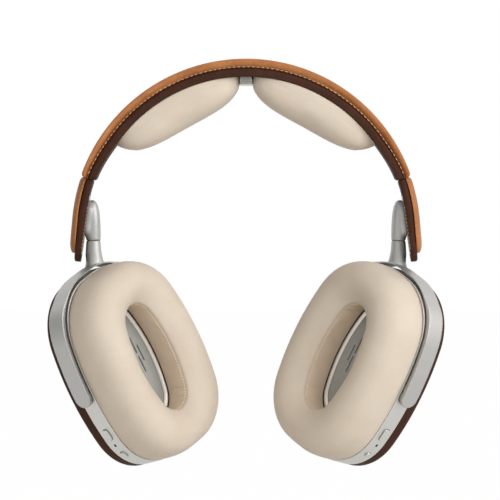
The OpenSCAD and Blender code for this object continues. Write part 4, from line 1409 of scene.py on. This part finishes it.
# A second row runs beside the rail, and stops short of its two ends.
RAIL_STITCH = 0.2
RAIL_STITCH_FROM = 3
RAIL_STITCH_TO = 6
strap_steps = np.linspace(TONGUE_R, STRAP_LEN - STITCH_IN, 60)
rail_steps = np.linspace(rail_cad[:, 2].min() + RAIL_STITCH_FROM, rail_cad[:, 2].max() - RAIL_STITCH_TO, 40)
strap_rows = [[on_strap(STRAP_SEAM + STITCH_R, s * (STRAP_W / 2 - STITCH_SINK), d) for d in strap_steps]
              for s in (-1, 1)]
for s in (-1, 1):
    row = []
    for high in rail_steps:
        lean_in = (high - ARCH_Z) * math.sin(RAIL_LEAN)
        r = (rail_line + RAIL_BACK + RAIL_STITCH - lean_in) / math.cos(RAIL_LEAN)
        row.append(Vector((r, s * (STRAP_W / 2 - STITCH_SINK), high)) * MM)
    strap_rows.append(row)
strap_sewn = sew("end_stitches_right", strap_rows, tan_thread, *END_STITCH)
dress(strap_sewn, "headband", "tan_leather")
dress(mirrored(strap_sewn, "end_stitches_left"), "headband", "tan_leather")
print("stitches on an end piece:", len(strap_sewn.data.polygons) // BEAD_FACES)

# %% Stitches inside the cushions
CUSHION_STITCH = (1.5, 0.9, 0.5)
# The thread stands out from the wall, part of the way down to its next rows.
SEAM_LIFT = 0.26
BELOW_SEAM = 0.6
seam_row = []
for i in range(CUSHION_TURNS):
    inward = Vector(in_cup(0, 0, 0)) - Vector(in_cup(*oval(cushion_turns[i], 0), 0))
    seam_row.append(seam_line[i].lerp(wall_line[i], BELOW_SEAM) + inward.normalized() * SEAM_LIFT * MM)
seam_sewn = sew("cushion_stitches_right", [seam_row], cream_thread, *CUSHION_STITCH, closed=True)
dress(seam_sewn, "cup_right", "cream_leather")
dress(mirrored(seam_sewn, "cushion_stitches_left"), "cup_left", "cream_leather")
print("stitches in a cushion:", len(seam_sewn.data.polygons) // BEAD_FACES)

# %% [markdown]
# ## Bright ring and pad clip
# A polished half-round ring frames the baffle inside each cushion, with a thin dark joint
# between it and the leather wall. It is one section swept round the opening of the cushion. The
# clip between the pads is a grey block on a paler foot, so a copy of the CAD piece is cut in two
# at the top of the foot.

# %% Bright ring
RING_GAP = 0.6
RING_W = 2.0
RING_LOW = -0.4
RING_T = 1.5
RING_SHARP = 50
RING_FORM = [(1.0, 0.0), (1.0, 0.75), (0.97, 0.9), (0.88, 1.0), (0.74, 0.98), (0.4, 0.66), (0.06, 0.3),
             (0.0, 0.2), (0.0, 0.0)]
ring_profile = [(-RING_GAP - RING_W + x * RING_W, RING_LOW + y * RING_T) for x, y in RING_FORM]
ring_points = [in_cup(*opening(f, grow), w) for grow, w in ring_profile for f in turns]
ring_quads = ring_faces(len(ring_profile), STATIONS, True)
ring = mesh_piece("bright_ring_right", ring_points, ring_quads, bright, RING_SHARP)
dress(ring, "cup_right", "bright_ring", "baffle_ring_right")
dress(mirrored(ring, "bright_ring_left"), "cup_left", "bright_ring", "baffle_ring_left")
print("ring:", RING_W, "mm wide")

# %% Pad clip
CLIP_FOOT = 0.8
CLIP_EASE = 0.25


def clip_part(name, material, keep_low):
    """The part of the clip below or above the top of its foot."""
    piece = merged_copy("pad_clip", name)
    solid = bmesh.new()
    solid.from_mesh(piece.data)
    split = bmesh.ops.bisect_plane(solid, geom=solid.verts[:] + solid.edges[:] + solid.faces[:],
                                   plane_co=(0, 0, CLIP_FOOT * MM), plane_no=(0, 0, 1),
                                   clear_outer=keep_low, clear_inner=not keep_low)
    bmesh.ops.holes_fill(solid, edges=[e for e in split["geom_cut"] if isinstance(e, bmesh.types.BMEdge)])
    bmesh.ops.recalc_face_normals(solid, faces=solid.faces)
    solid.to_mesh(piece.data)
    solid.free()
    soften(piece, CLIP_EASE, EASE_SHARP)
    piece.data.materials.append(material)
    return piece


dress(clip_part("clip_block", clip_grey, False), "headband", "clip_grey", "pad_clip")
dress(clip_part("clip_foot", bright, True), "headband", "silver")
print("clip: a grey block on a foot of", CLIP_FOOT, "mm")

# %% [markdown]
# ## The rest of the frame
# The remaining CAD pieces already have the right shape and only take their finish: the spring
# band, shoes and pins, the baffle with its slots, and the parts inside the cups.

# %% Finishes for the CAD pieces that stay
STAYS = {
    "spring_band": steel, "slide_shoe": steel, "swivel_pin": steel, "swivel_washer": nylon,
    "pivot_pins": steel, "pivot_bushes": nylon, "baffle": baffle_grey, "damping_cloth": cloth,
    "driver_frame": black, "driver_magnet": steel, "diaphragm": film, "circuit_board": board,
    "cushion_plate": black, "battery": foil, "charge_socket": steel,
}
painted = 0
for name, node in nodes.items():
    finish = STAYS.get(name.removesuffix("_left").removesuffix("_right"))
    if finish and not node.hide_render:
        node.data.materials.clear()
        node.data.materials.append(finish)
        painted += 1
print("CAD pieces painted:", painted)

# %% [markdown]
# ## Finish
# Standard view keeps colours as they were written. The last line prints the size of the dressed box.

# %% Finish
scene.view_settings.view_transform = "Standard"
low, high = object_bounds()
print("dressed size:", [round(x / MM, 1) for x in high - low], "mm")
